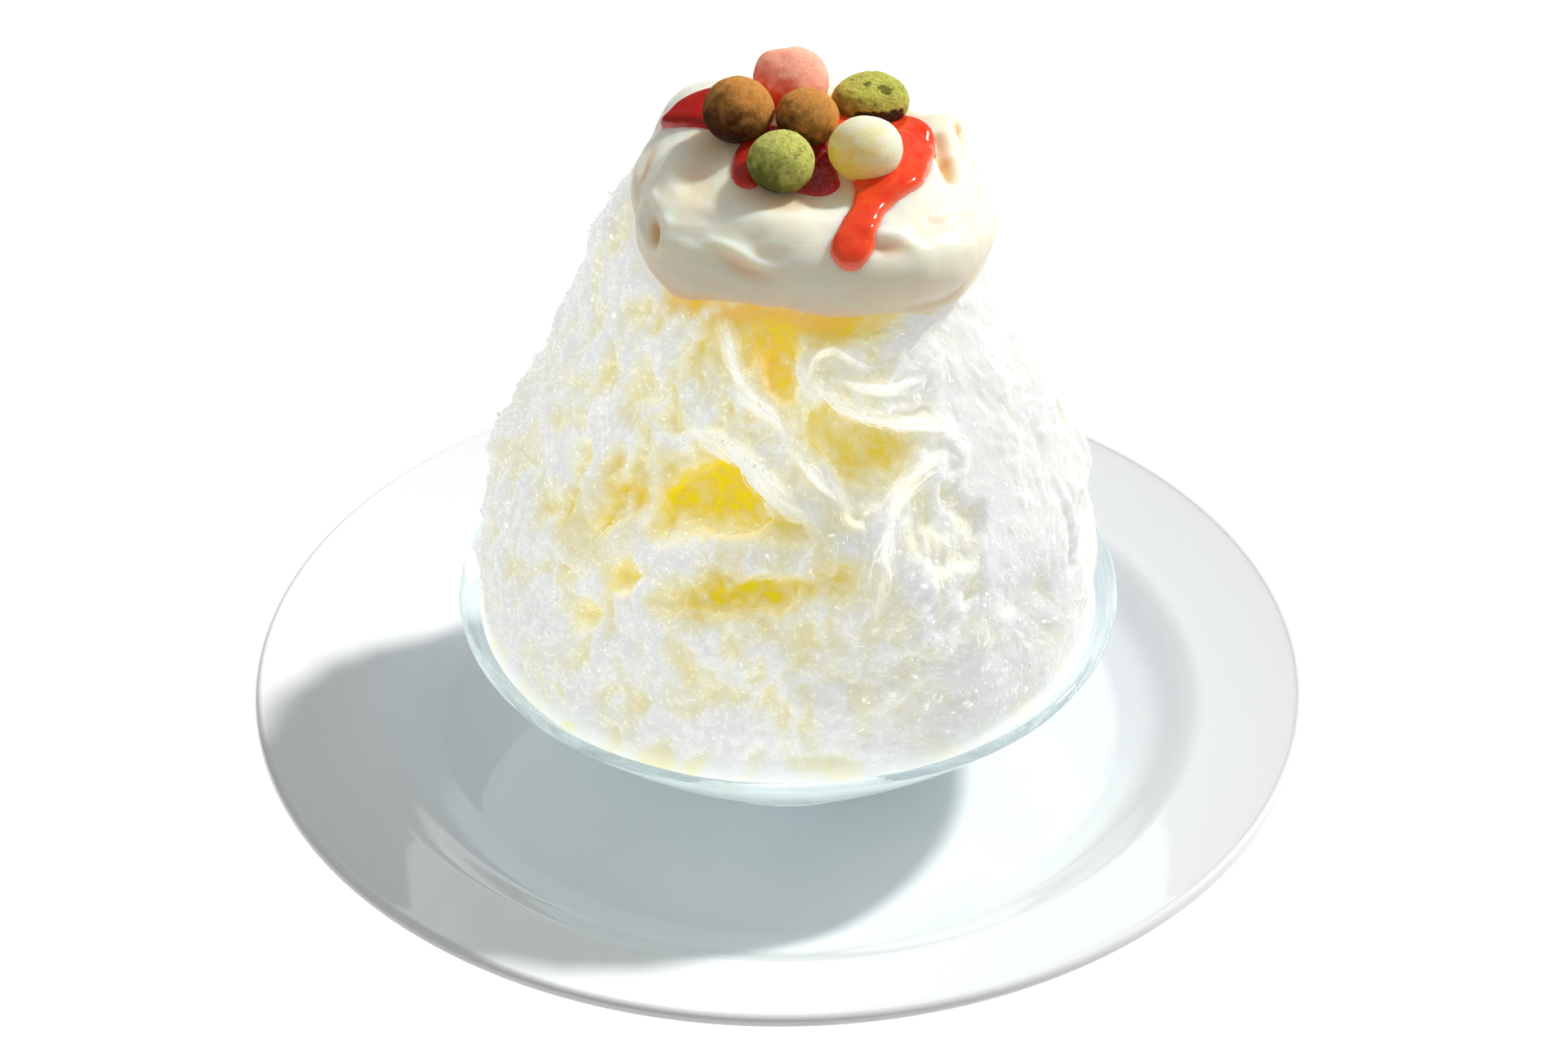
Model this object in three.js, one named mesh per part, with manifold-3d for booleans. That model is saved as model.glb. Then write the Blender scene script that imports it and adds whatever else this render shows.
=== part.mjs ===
// Kakigori: a tall heap of shaved ice in a flared glass bowl, capped with whipped cream and six
// dusted chocolate balls, on a wide-rimmed white plate. Millimetres, +Z up. The origin is the
// middle of the plate's foot, on the surface that the plate stands on, and -Y is the front.
import * as THREE from 'three';
import { mergeVertices } from 'three/addons/utils/BufferGeometryUtils.js';
import Module from 'manifold-3d';

const wasm = await Module();
wasm.setup();

// Driving dimensions -------------------------------------------------------------------------
const CLEARANCE = 0.3; // gap between pieces that touch
const WELD = 1e-3; // corners closer than this are one

const PLATE = {
  radius: 135, // outer edge of the rolled lip
  edgeHeight: 22, // height of the lip's widest point
  lip: 1.8, // half of the lip's thickness
  lipSteps: 4,
  wellRadius: 87, // flat middle, out to the crease
  wellHeight: 8,
  cove: [[0, 0], [3, 0.7], [10, 3]], // steps out and up from the crease
  shoulderRadius: 110, // where the rim begins
  shoulderHeight: 17.4,
  shoulder: [[-6, -2.4], [-2, -0.4], [3, 0.9]], // steps about the rim's beginning
  rimDip: [3, 1], // how far in, and how far below its top, the lip leaves the rim
  under: [[114, 13.8], [97, 7]], // radius and height of the underside, from the lip in
  footRadius: 76, // middle of the foot ring
  footWidth: 5,
  footHeight: 3.2,
  footBevel: 0.6,
  segments: 56,
};

const BOWL = {
  centreX: 2, // the bowl stands slightly off the plate's middle
  rimRadius: 83.3,
  rimHeight: 48.6, // middle of the rounded lip
  footRadius: 39.5,
  footTop: 3, // where the wall leaves the foot, above the well
  footRecess: 1.5, // hollow under the foot
  footRing: 6, // width of the ring that it stands on
  footBevel: 1,
  wall: 2.8,
  floor: 5.2, // thickness of the glass in the middle
  floorCorner: [[3, 0.6], [8, 0]], // steps in from the foot and up from the floor, at its edge
  bulge: new THREE.Vector2(63.4, 27.6), // control point of the wall's curve
  wallSteps: 5,
  lipSteps: 4,
  segments: 56,
};

const ICE = {
  // Radius and height of the heap's outline above the bowl, from the glass up to the top.
  outline: [
    [77.2, 52], [77, 62], [76, 75], [72, 90], [67, 105], [60.3, 120], [52, 135],
    [45.5, 150], [41.5, 159], [36, 166], [26, 170], [13, 171.6],
  ],
  top: 172,
  contact: 0.92, // share of the way up the glass where the heap leaves it
  evenHeight: 50, // below this the outline is even
  freeHeight: 56, // above this it is fully uneven
  lump: 1.6, // height of the uneven swellings
  lumpSize: 7,
  shoulderHeight: 150, // above this the swellings turn from outward to upward
  segments: 56,
};

// Hollows and swellings of the heap: azimuth in degrees from +X, height, reach and depth in mm.
const ICE_HOLLOWS = [
  { azimuth: -105, height: 118, reach: 13, depth: 8 },
  { azimuth: -94, height: 148, reach: 11, depth: 5 },
  { azimuth: -70, height: 128, reach: 13, depth: 5 },
  { azimuth: -91, height: 99, reach: 13, depth: 4.5 },
  { azimuth: -131, height: 80, reach: 7, depth: 3 },
  { azimuth: -123, height: 97, reach: 7, depth: 3.5 },
  { azimuth: -143, height: 118, reach: 8, depth: 3 },
  { azimuth: -158, height: 103, reach: 9, depth: 3 },
  { azimuth: 160, height: 118, reach: 14, depth: 4 },
  { azimuth: 105, height: 130, reach: 14, depth: 5 },
  { azimuth: 85, height: 90, reach: 13, depth: 4.5 },
  { azimuth: 130, height: 82, reach: 11, depth: 4 },
  { azimuth: 40, height: 112, reach: 12, depth: 4 },
  { azimuth: 12, height: 84, reach: 11, depth: 3 },
];
const ICE_SWELLINGS = [
  { azimuth: 176, height: 160, reach: 14, depth: 2.6 },
  { azimuth: -66, height: 146, reach: 12, depth: 3.2 },
  { azimuth: -58, height: 106, reach: 16, depth: 3.2 },
  { azimuth: -100, height: 134, reach: 9, depth: 2.6 },
  { azimuth: -104, height: 82, reach: 15, depth: 2 },
  { azimuth: 65, height: 140, reach: 13, depth: 3 },
  { azimuth: 110, height: 106, reach: 14, depth: 3 },
  { azimuth: 0, height: 100, reach: 15, depth: 1.6 },
];

const CREAM = {
  centre: new THREE.Vector3(7.2, -3.2, 163.5),
  halfSize: new THREE.Vector3(42.5, 38, 19),
  fullness: 2.7, // 2 is an ellipsoid, more is a fuller shoulder
  squareness: 2.35, // the same, seen from above
  leanX: -0.03, // rise per millimetre towards +X
  leanY: 0.05,
  lump: 0.9,
  lumpSize: 6,
  segments: 36,
  rings: 18,
};

// Folds and dents of the cream: a place on it, reach and how far it pushes out.
const CREAM_FOLDS = [
  { at: [-17, 25, 184], reach: 12, push: 6.5 },
  { at: [9, -17, 182], reach: 13, push: -4.6 },
  { at: [23, 15, 182], reach: 9, push: -3.6 },
  { at: [-27, -20, 174], reach: 10, push: 1.6 },
  { at: [-10, -34, 170], reach: 12, push: -1.6 },
  { at: [16, -41, 161], reach: 10, push: 1.4 },
  { at: [36, -24, 172], reach: 14, push: 2 },
  { at: [40, 13, 178], reach: 6, push: 4.5 },
  { at: [38, 2, 180], reach: 5, push: -3 },
  { at: [26, -36, 153], reach: 11, push: -2.6 },
  { at: [-33, -6, 160], reach: 9, push: -1.4 },
  { at: [-22, -34, 158], reach: 9, push: 1.6 },
  { at: [50, -6, 160], reach: 12, push: 1.8 },
  { at: [10, 36, 168], reach: 14, push: 2.4 },
  { at: [-22, 30, 160], reach: 10, push: -2 },
  { at: [-27, 21, 180], reach: 8, push: 2.6 },
];

// Chocolate balls: middle, half sizes along X, Y and Z, powder colour and how lumpy each is.
const BALLS = [
  { name: 'ball_pink', at: [2.7, 14, 188.6], half: [9, 8.8, 8.4], colour: '#d98a80', lump: 0.7 },
  { name: 'ball_green_back', at: [21.6, 14.2, 183.8], half: [9.2, 8.4, 6.7], colour: '#8c9a2c', lump: 0.5 },
  { name: 'ball_cocoa_left', at: [-9.8, 0, 189.4], half: [8.3, 8.3, 7.9], colour: '#7a4522', lump: 0.3 },
  { name: 'ball_cocoa_middle', at: [6.6, -2.4, 188.7], half: [7.3, 7.2, 7.1], colour: '#7a4522', lump: 0.3 },
  { name: 'ball_green_front', at: [0.2, -15.5, 184.6], half: [8, 7.6, 7.3], colour: '#95a23c', lump: 0.3 },
  { name: 'ball_white', at: [20.2, -10.6, 185.1], half: [8.9, 8, 7.9], colour: '#ddcf9c', lump: 0.3 },
];
const BALL_DETAIL = 2;
const BALL_LUMP_SIZE = 0.4; // share of a ball's half size

// Shape helpers -------------------------------------------------------------------------------

/** Turns a profile of radius and height, from axis to axis, into a body of revolution about Z. */
function lathe(profile, segments) {
  const points = profile.map(([radius, height]) => new THREE.Vector2(radius, height));
  return weld(new THREE.LatheGeometry(points, segments).rotateX(Math.PI / 2));
}

/** Merges a geometry's shared corners, keeping only positions. */
function weld(geometry) {
  geometry.deleteAttribute('normal');
  geometry.deleteAttribute('uv');
  return mergeVertices(geometry, WELD);
}

/** Moves every corner of a geometry by a function that changes a vector in place. */
function shape(geometry, change) {
  const position = geometry.getAttribute('position');
  const point = new THREE.Vector3();
  for (let i = 0; i < position.count; i += 1) {
    point.fromBufferAttribute(position, i);
    change(point);
    position.setXYZ(i, point.x, point.y, point.z);
  }
  return geometry;
}

/** Swells a welded geometry by a distance along its smooth normals. */
function swell(geometry, distance) {
  geometry.computeVertexNormals();
  const normals = geometry.getAttribute('normal');
  const position = geometry.getAttribute('position');
  for (let i = 0; i < position.count; i += 1) {
    position.setXYZ(
      i,
      position.getX(i) + normals.getX(i) * distance,
      position.getY(i) + normals.getY(i) * distance,
      position.getZ(i) + normals.getZ(i) * distance,
    );
  }
  geometry.deleteAttribute('normal');
  return geometry;
}

/** The point a distance to the left of a curve, at a share of its way. */
function beside(curve, share, distance) {
  const place = curve.getPoint(share);
  const along = curve.getTangent(share);
  return [place.x - along.y * distance, place.y + along.x * distance];
}

/** Points a distance to the left of a curve, all along it. */
function offsetCurve(curve, distance, steps) {
  return Array.from({ length: steps + 1 }, (unused, i) => beside(curve, i / steps, distance));
}

/** Points of an arc from the angle start, going round by sweep, both in radians. */
function arc(x, y, radius, start, sweep, steps) {
  const points = [];
  for (let i = 0; i <= steps; i += 1) {
    const angle = start + (sweep * i) / steps;
    points.push([x + radius * Math.cos(angle), y + radius * Math.sin(angle)]);
  }
  return points;
}

/** A smooth, repeatable unevenness between about -1 and 1, with swellings of a given size. */
function ripple(point, size) {
  const [x, y, z] = point.toArray().map((value) => value / size);
  const a = Math.sin(x * 0.9 + 1.3 * Math.sin(y * 0.7 + 0.4) + 0.5);
  const b = Math.sin(y * 1.1 + 1.1 * Math.sin(z * 0.8 + 2.1) + 1.7);
  const c = Math.sin(z * 1.3 + 1.2 * Math.sin(x * 0.6 + 4.2) + 2.9);
  return (a + b + c) / 3;
}

/** The length of a pair of numbers in a squarer measure than the round one, which has power 2. */
function norm(a, b, power) {
  return (Math.abs(a) ** power + Math.abs(b) ** power) ** (1 / power);
}

/** The share left of a push at a distance from its middle. */
function falloff(distance, reach) {
  return Math.exp(-((distance / reach) ** 2));
}

/** A closed manifold solid of a welded geometry. */
function toSolid(geometry) {
  return new wasm.Manifold(new wasm.Mesh({
    numProp: 3,
    vertProperties: Float32Array.from(geometry.getAttribute('position').array),
    triVerts: Uint32Array.from(geometry.index.array),
  }));
}

/** A geometry of a manifold solid. */
function toGeometry(solid) {
  const mesh = solid.getMesh();
  const geometry = new THREE.BufferGeometry();
  geometry.setAttribute('position', new THREE.BufferAttribute(mesh.vertProperties, 3));
  geometry.setIndex(new THREE.BufferAttribute(mesh.triVerts, 1));
  return geometry;
}

/** A named piece with its own material. */
function piece(name, geometry, look) {
  geometry.computeVertexNormals();
  const mesh = new THREE.Mesh(geometry, new THREE.MeshStandardMaterial({ metalness: 0, ...look }));
  mesh.name = name;
  return mesh;
}

// Plate ---------------------------------------------------------------------------------------

/** The plate's profile: the well, the cove, the wide rim, the rolled lip and the foot ring. */
function plateProfile() {
  const p = PLATE;
  const rimEnd = p.radius - p.lip;
  const footIn = p.footRadius - p.footWidth / 2;
  const footOut = p.footRadius + p.footWidth / 2;
  const [dipIn, dipDown] = p.rimDip;
  return [
    [0, p.footHeight],
    [footIn, p.footHeight],
    [footIn + p.footBevel, 0],
    [footOut - p.footBevel, 0],
    [footOut, p.footHeight - p.footBevel],
    [p.wellRadius, p.footHeight],
    ...p.under.toReversed(),
    ...arc(rimEnd, p.edgeHeight, p.lip, -Math.PI / 2, Math.PI, p.lipSteps),
    [rimEnd - dipIn, p.edgeHeight + p.lip - dipDown],
    ...p.shoulder.map(([out, up]) => [p.shoulderRadius + out, p.shoulderHeight + up]).reverse(),
    ...p.cove.map(([out, up]) => [p.wellRadius + out, p.wellHeight + up]).reverse(),
    [0, p.wellHeight],
  ];
}

// Glass bowl ----------------------------------------------------------------------------------

const bowlBase = PLATE.wellHeight + CLEARANCE;
const bowlWall = new THREE.QuadraticBezierCurve(
  new THREE.Vector2(BOWL.footRadius, bowlBase + BOWL.footTop),
  BOWL.bulge,
  new THREE.Vector2(BOWL.rimRadius, BOWL.rimHeight),
);
const bowlFloor = bowlBase + BOWL.footRecess + BOWL.floor;

/** The bottom of the bowl's inside, from the wall in to the axis, raised by a gap. */
function bowlBottom(gap) {
  const edge = BOWL.footRadius - gap;
  const corner = BOWL.floorCorner.map(([inward, up]) => [edge - inward, bowlFloor + up + gap]);
  return [...corner, [0, bowlFloor + gap]];
}

/** The bowl's profile: foot ring, outer wall, rounded lip, inner wall and floor. */
function bowlProfile() {
  const b = BOWL;
  const along = bowlWall.getTangent(1);
  const outward = Math.atan2(-along.x, along.y);
  const [lipX, lipY] = beside(bowlWall, 1, b.wall / 2);
  const lip = arc(lipX, lipY, b.wall / 2, outward, Math.PI, b.lipSteps).slice(1, -1);
  const inner = offsetCurve(bowlWall, b.wall, b.wallSteps).reverse();
  return [
    [0, bowlBase + b.footRecess],
    [b.footRadius - b.footRing, bowlBase + b.footRecess],
    [b.footRadius - b.footRing + b.footBevel, bowlBase],
    [b.footRadius - b.footBevel, bowlBase],
    ...offsetCurve(bowlWall, 0, b.wallSteps),
    ...lip,
    ...inner.slice(0, -1),
    ...bowlBottom(0),
  ];
}

// Shaved ice ----------------------------------------------------------------------------------

/** How far the heap's surface is pushed out at a place on it, given about the bowl's axis. */
function icePush(point) {
  const radius = Math.hypot(point.x, point.y);
  const azimuth = Math.atan2(point.y, point.x);
  const free = THREE.MathUtils.smoothstep(point.z, ICE.evenHeight, ICE.freeHeight);
  let push = ICE.lump * ripple(point, ICE.lumpSize);
  const addAll = (list, sign) => list.forEach((mark) => {
    const turn = azimuth - THREE.MathUtils.degToRad(mark.azimuth);
    const around = Math.atan2(Math.sin(turn), Math.cos(turn)) * radius;
    push += sign * mark.depth * falloff(Math.hypot(around, point.z - mark.height), mark.reach);
  });
  addAll(ICE_HOLLOWS, -1);
  addAll(ICE_SWELLINGS, 1);
  return push * free;
}

/** The heap's solid about the bowl's axis, filling the bowl and piled up above it. */
function iceGeometry() {
  const inset = BOWL.wall + CLEARANCE;
  const profile = [
    ...bowlBottom(CLEARANCE).reverse(),
    ...offsetCurve(bowlWall, inset, BOWL.wallSteps).slice(1, -1),
    beside(bowlWall, ICE.contact, inset),
    ...ICE.outline,
    [0, ICE.top],
  ];
  return shape(lathe(profile, ICE.segments), (point) => {
    const radius = Math.hypot(point.x, point.y);
    const push = icePush(point);
    const slope = THREE.MathUtils.smoothstep(point.z, ICE.shoulderHeight, ICE.top);
    const outward = radius > 0 ? (push * (1 - slope)) / radius : 0;
    point.x += point.x * outward;
    point.y += point.y * outward;
    point.z += push * slope;
  });
}

// Whipped cream -------------------------------------------------------------------------------

/** The dollop's outer form before the ice and the balls are cut out of it. */
function creamGeometry() {
  const c = CREAM;
  const ball = weld(new THREE.SphereGeometry(1, c.segments, c.rings).rotateX(Math.PI / 2));
  return shape(ball, (point) => {
    const direction = point.clone();
    const round = Math.hypot(point.x, point.y);
    const corner = norm(point.x, point.y, c.squareness);
    const spread = corner > 0 ? round / corner : 1;
    point.multiplyScalar(1 / norm(round, point.z, c.fullness)).multiply(c.halfSize);
    point.x *= spread;
    point.y *= spread;
    point.z += c.leanX * point.x + c.leanY * point.y;
    point.add(c.centre);
    let push = c.lump * ripple(point, c.lumpSize);
    CREAM_FOLDS.forEach((fold) => {
      push += fold.push * falloff(point.distanceTo(new THREE.Vector3(...fold.at)), fold.reach);
    });
    point.addScaledVector(direction, push);
  });
}

// Chocolate balls -----------------------------------------------------------------------------

/** A slightly lumpy ball of the given half sizes, in place, grown by an extra distance. */
function ballGeometry(ball, extra) {
  const middle = new THREE.Vector3(...ball.at);
  const half = new THREE.Vector3(...ball.half);
  return shape(weld(new THREE.IcosahedronGeometry(1, BALL_DETAIL)), (point) => {
    const uneven = ball.lump * ripple(point.clone().add(middle), BALL_LUMP_SIZE);
    point.multiply(half.clone().addScalar(uneven + extra)).add(middle);
  });
}

// Assembly ------------------------------------------------------------------------------------

const ice = iceGeometry();
ice.translate(BOWL.centreX, 0, 0);
const iceRoom = swell(ice.clone(), CLEARANCE);

let cream = toSolid(creamGeometry()).subtract(toSolid(iceRoom));
BALLS.forEach((ball) => {
  cream = cream.subtract(toSolid(ballGeometry(ball, CLEARANCE)));
});

const kakigori = new THREE.Group();
kakigori.add(piece('plate', lathe(plateProfile(), PLATE.segments), { color: '#eef1f2', roughness: 0.12 }));

const bowl = piece('glass_bowl', lathe(bowlProfile(), BOWL.segments), {
  color: '#e4f2f2',
  roughness: 0.03,
  transparent: true,
  opacity: 0.35,
});
bowl.position.x = BOWL.centreX;
kakigori.add(bowl);

kakigori.add(piece('shaved_ice', ice, { color: '#f4f4ec', roughness: 0.5 }));
kakigori.add(piece('whipped_cream', toGeometry(cream), { color: '#f6f1e2', roughness: 0.45 }));
BALLS.forEach((ball) => {
  kakigori.add(piece(ball.name, ballGeometry(ball, 0), { color: ball.colour, roughness: 0.9 }));
});

export default kakigori;
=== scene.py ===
"""Looks of a kakigori: shaved ice in a clear glass bowl on a white plate, capped with whipped
cream, six dusted chocolate balls and red sauce.

Sizes are in millimetres in the row frame (+Z up, -Y the front) and become metres when a mesh is
made. The driving dimensions repeat those of the CAD model.
"""

import itertools
import logging
import math
from dataclasses import dataclass, field
from enum import Enum
from typing import Any, Callable, Sequence

import bmesh
import bpy
import numpy as np
from mathutils import Matrix, Vector
from mathutils.bvhtree import BVHTree

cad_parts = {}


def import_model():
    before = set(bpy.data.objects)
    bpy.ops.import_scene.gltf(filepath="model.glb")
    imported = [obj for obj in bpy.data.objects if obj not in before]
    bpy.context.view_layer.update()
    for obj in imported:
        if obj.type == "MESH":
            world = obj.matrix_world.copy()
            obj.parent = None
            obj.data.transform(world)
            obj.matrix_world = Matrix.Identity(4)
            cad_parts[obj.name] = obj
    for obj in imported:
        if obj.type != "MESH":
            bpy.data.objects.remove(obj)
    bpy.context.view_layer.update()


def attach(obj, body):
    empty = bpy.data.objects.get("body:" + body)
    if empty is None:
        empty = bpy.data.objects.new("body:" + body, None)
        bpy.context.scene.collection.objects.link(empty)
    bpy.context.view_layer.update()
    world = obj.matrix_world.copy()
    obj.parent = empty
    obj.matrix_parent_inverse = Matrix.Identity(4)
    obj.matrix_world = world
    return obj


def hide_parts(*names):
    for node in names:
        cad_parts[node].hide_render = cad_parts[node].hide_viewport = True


MM = 0.001  # metres in a millimetre
WELD = 1e-3  # corners closer than this, in millimetres, are one
BODY = "root"
FAR = 99.0  # millimetres that count as out of reach
ODD_WAY = np.array([0.31, -0.52, 0.79])  # a direction that no thread of ice runs along

Outline = list[tuple[float, float]]
Colour = tuple[float, float, float]

log = logging.getLogger("kakigori")


# Number helpers --------------------------------------------------------------------------------


def smoothstep(value: np.ndarray, low: float, high: float) -> np.ndarray:
    """Rises smoothly from 0 at low to 1 at high."""
    share = np.clip((value - low) / (high - low), 0.0, 1.0)
    return share * share * (3.0 - 2.0 * share)


def falloff(distance: np.ndarray, reach: float) -> np.ndarray:
    """The share left of a push at a distance from its middle."""
    return np.exp(-((distance / reach) ** 2))


def ripple(points: np.ndarray, size: float) -> np.ndarray:
    """The CAD model's smooth unevenness, between about -1 and 1.

    Args:
        points: places, one row each.
        size: rough size of the swellings.

    Returns:
        One value for each place.
    """
    x, y, z = (points / size).T
    a = np.sin(x * 0.9 + 1.3 * np.sin(y * 0.7 + 0.4) + 0.5)
    b = np.sin(y * 1.1 + 1.1 * np.sin(z * 0.8 + 2.1) + 1.7)
    c = np.sin(z * 1.3 + 1.2 * np.sin(x * 0.6 + 4.2) + 2.9)
    return (a + b + c) / 3.0


def lattice(cells: np.ndarray, seed: int) -> np.ndarray:
    """A repeatable random value between 0 and 1 for each whole-numbered cell."""
    mixed = cells[:, 0] * 374761393 + cells[:, 1] * 668265263 + cells[:, 2] * 1440662683
    mixed = (mixed + seed * 1274126177) & 0xFFFFFFFF
    mixed = ((mixed ^ (mixed >> 13)) * 1274126177) & 0xFFFFFFFF
    mixed = ((mixed ^ (mixed >> 16)) * 2246822519) & 0xFFFFFFFF
    return ((mixed ^ (mixed >> 15)) & 0xFFFFFF) / float(0xFFFFFF)


def wander(points: np.ndarray, size: Any, seed: int) -> np.ndarray:
    """Smooth seeded noise between -1 and 1.

    Args:
        points: places, one row each.
        size: size of a cell, as one number or one for each axis.
        seed: picks one of many patterns.

    Returns:
        One value for each place.
    """
    scaled = points / np.asarray(size, float) + seed * 7.31
    cells = np.floor(scaled).astype(np.int64)
    inside = scaled - cells
    weight = inside**3 * (inside * (inside * 6.0 - 15.0) + 10.0)
    total = np.zeros(len(points))
    for corner in itertools.product((0, 1), repeat=3):
        near = np.where(np.array(corner) == 1, weight, 1.0 - weight).prod(axis=1)
        total += near * lattice(cells + np.array(corner), seed)
    return total * 2.0 - 1.0


def fractal(points: np.ndarray, size: Any, seed: int, octaves: int) -> np.ndarray:
    """Sums octaves of wander(), each half as large and half as strong as the last."""
    total = np.zeros(len(points))
    size = np.asarray(size, float)
    for step in range(octaves):
        total += wander(points, size / 2.0**step, seed + step) / 2.0**step
    return total / (2.0 - 0.5 ** (octaves - 1))


def polar(points: np.ndarray) -> tuple[np.ndarray, np.ndarray]:
    """The azimuths in radians and the radii of places about the Z axis."""
    return np.arctan2(points[:, 1], points[:, 0]), np.hypot(points[:, 0], points[:, 1])


def wrapped(angle: np.ndarray) -> np.ndarray:
    """Brings angles in radians between -pi and pi."""
    return np.arctan2(np.sin(angle), np.cos(angle))


def unit(vectors: np.ndarray) -> np.ndarray:
    """Scales vectors, one row each, to length 1."""
    return vectors / np.maximum(np.linalg.norm(vectors, axis=-1, keepdims=True), 1e-12)


def segment_distance(
    points: np.ndarray, start: Sequence[float], end: Sequence[float]
) -> tuple[np.ndarray, np.ndarray]:
    """Measures how far places are from a straight segment.

    Args:
        points: places, one row each.
        start: one end of the segment.
        end: the other end.

    Returns:
        The distance of each place, and the share along the segment where it is nearest.
    """
    first, last = np.asarray(start, float), np.asarray(end, float)
    along = last - first
    share = np.clip(((points - first) @ along) / max(along @ along, 1e-9), 0.0, 1.0)
    return np.linalg.norm(points - first - share[:, None] * along, axis=1), share


def smooth_line(points: Sequence[tuple[float, float]], steps: int) -> Outline:
    """Draws a smooth curve through points of an outline.

    Args:
        points: the points that the curve passes through.
        steps: how many pieces each stretch is cut into.

    Returns:
        The points of the curve, the given ones among them.
    """
    known = np.asarray(points, float)
    padded = np.vstack([2 * known[0] - known[1], known, 2 * known[-1] - known[-2]])
    line: Outline = []
    for before, start, end, after in zip(padded, padded[1:], padded[2:], padded[3:]):
        for step in range(steps):
            t = step / steps
            point = 0.5 * (
                2 * start
                + (end - before) * t
                + (2 * before - 5 * start + 4 * end - after) * t**2
                + (3 * start - before - 3 * end + after) * t**3
            )
            line.append((float(point[0]), float(point[1])))
    line.append((float(known[-1][0]), float(known[-1][1])))
    return line


def even_line(points: Sequence[tuple[float, float]], spacing: float) -> Outline:
    """Cuts an outline into pieces of about the same length.

    Args:
        points: the outline.
        spacing: the length wanted for each piece.

    Returns:
        The evenly spaced points, both ends kept.
    """
    known = np.asarray(points, float)
    way = np.concatenate([[0.0], np.cumsum(np.linalg.norm(np.diff(known, axis=0), axis=1))])
    count = max(2, round(way[-1] / spacing))
    places = np.linspace(0.0, way[-1], count + 1)
    radius = np.interp(places, way, known[:, 0])
    height = np.interp(places, way, known[:, 1])
    return [(float(r), float(z)) for r, z in zip(radius, height)]


def arc(x: float, y: float, radius: float, start: float, sweep: float, steps: int) -> Outline:
    """Points of an arc from the angle start, going round by sweep, both in radians."""
    angles = [start + sweep * step / steps for step in range(steps + 1)]
    return [(x + radius * math.cos(a), y + radius * math.sin(a)) for a in angles]


def inside_distance(points: np.ndarray, corners: np.ndarray) -> np.ndarray:
    """Measures how far inside an outline flat places lie.

    Args:
        points: places, one row of two each.
        corners: the outline's corners in order, one row each.

    Returns:
        The distance to the outline for each place, negative outside it.
    """
    nearest = np.full(len(points), np.inf)
    inside = np.zeros(len(points), bool)
    for start, end in zip(corners, np.roll(corners, -1, axis=0)):
        nearest = np.minimum(nearest, segment_distance(points, start, end)[0])
        rise = end[1] - start[1]
        crosses = (start[1] > points[:, 1]) != (end[1] > points[:, 1])
        level = (points[:, 1] - start[1]) / (rise if abs(rise) > 1e-9 else 1e-9)
        inside ^= crosses & (points[:, 0] < start[0] + (end[0] - start[0]) * level)
    return np.where(inside, nearest, -nearest)


# Mesh helpers ----------------------------------------------------------------------------------


def spun(outline: Sequence[tuple[float, float]], steps: int) -> bmesh.types.BMesh:
    """Spins an outline of radius and height about the Z axis.

    Args:
        outline: the outline, from axis to axis.
        steps: how many steps the full turn has.

    Returns:
        The closed body, in millimetres.
    """
    bm = bmesh.new()
    corners = [bm.verts.new((radius, 0.0, height)) for radius, height in outline]
    edges = [bm.edges.new(pair) for pair in zip(corners, corners[1:])]
    bmesh.ops.spin(
        bm,
        geom=corners + edges,
        cent=(0, 0, 0),
        axis=(0, 0, 1),
        angle=math.tau,
        steps=steps,
        use_merge=True,
    )
    bmesh.ops.remove_doubles(bm, verts=bm.verts, dist=WELD)
    bmesh.ops.recalc_face_normals(bm, faces=bm.faces)
    return bm


def to_mesh(bm: bmesh.types.BMesh, name: str) -> bpy.types.Mesh:
    """Turns a bmesh into a mesh, still in millimetres, and frees it."""
    mesh = bpy.data.meshes.new(name)
    bm.to_mesh(mesh)
    bm.free()
    return mesh


def points_of(mesh: bpy.types.Mesh) -> np.ndarray:
    """The corners of a mesh, one row each."""
    flat = np.empty(len(mesh.vertices) * 3, np.float32)
    mesh.vertices.foreach_get("co", flat)
    return flat.reshape(-1, 3).astype(float)


def move_points(mesh: bpy.types.Mesh, points: np.ndarray) -> None:
    """Puts the corners of a mesh in new places."""
    mesh.vertices.foreach_set("co", points.astype(np.float32).ravel())
    mesh.update()


def normals_of(mesh: bpy.types.Mesh) -> np.ndarray:
    """The smooth normal at each corner of a mesh, one row each."""
    flat = np.empty(len(mesh.vertices) * 3, np.float32)
    mesh.vertex_normals.foreach_get("vector", flat)
    return flat.reshape(-1, 3).astype(float)


def triangles_of(mesh: bpy.types.Mesh) -> np.ndarray:
    """The corner numbers of each triangle of a mesh, one row each."""
    mesh.calc_loop_triangles()
    flat = np.empty(len(mesh.loop_triangles) * 3, np.int32)
    mesh.loop_triangles.foreach_get("vertices", flat)
    return flat.reshape(-1, 3)


def mark_points(mesh: bpy.types.Mesh, name: str, values: np.ndarray) -> None:
    """Stores a value for each corner of a mesh, for its material to read."""
    layer = mesh.attributes.new(name, "FLOAT", "POINT")
    layer.data.foreach_set("value", values.astype(np.float32))


def marks_of(mesh: bpy.types.Mesh, name: str) -> np.ndarray:
    """Reads the values stored for each corner of a mesh."""
    values = np.empty(len(mesh.vertices), np.float32)
    mesh.attributes[name].data.foreach_get("value", values)
    return values.astype(float)


def tree_of(mesh: bpy.types.Mesh) -> BVHTree:
    """A search tree of a mesh that is still in millimetres."""
    return BVHTree.FromPolygons(points_of(mesh).tolist(), triangles_of(mesh).tolist())


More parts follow.
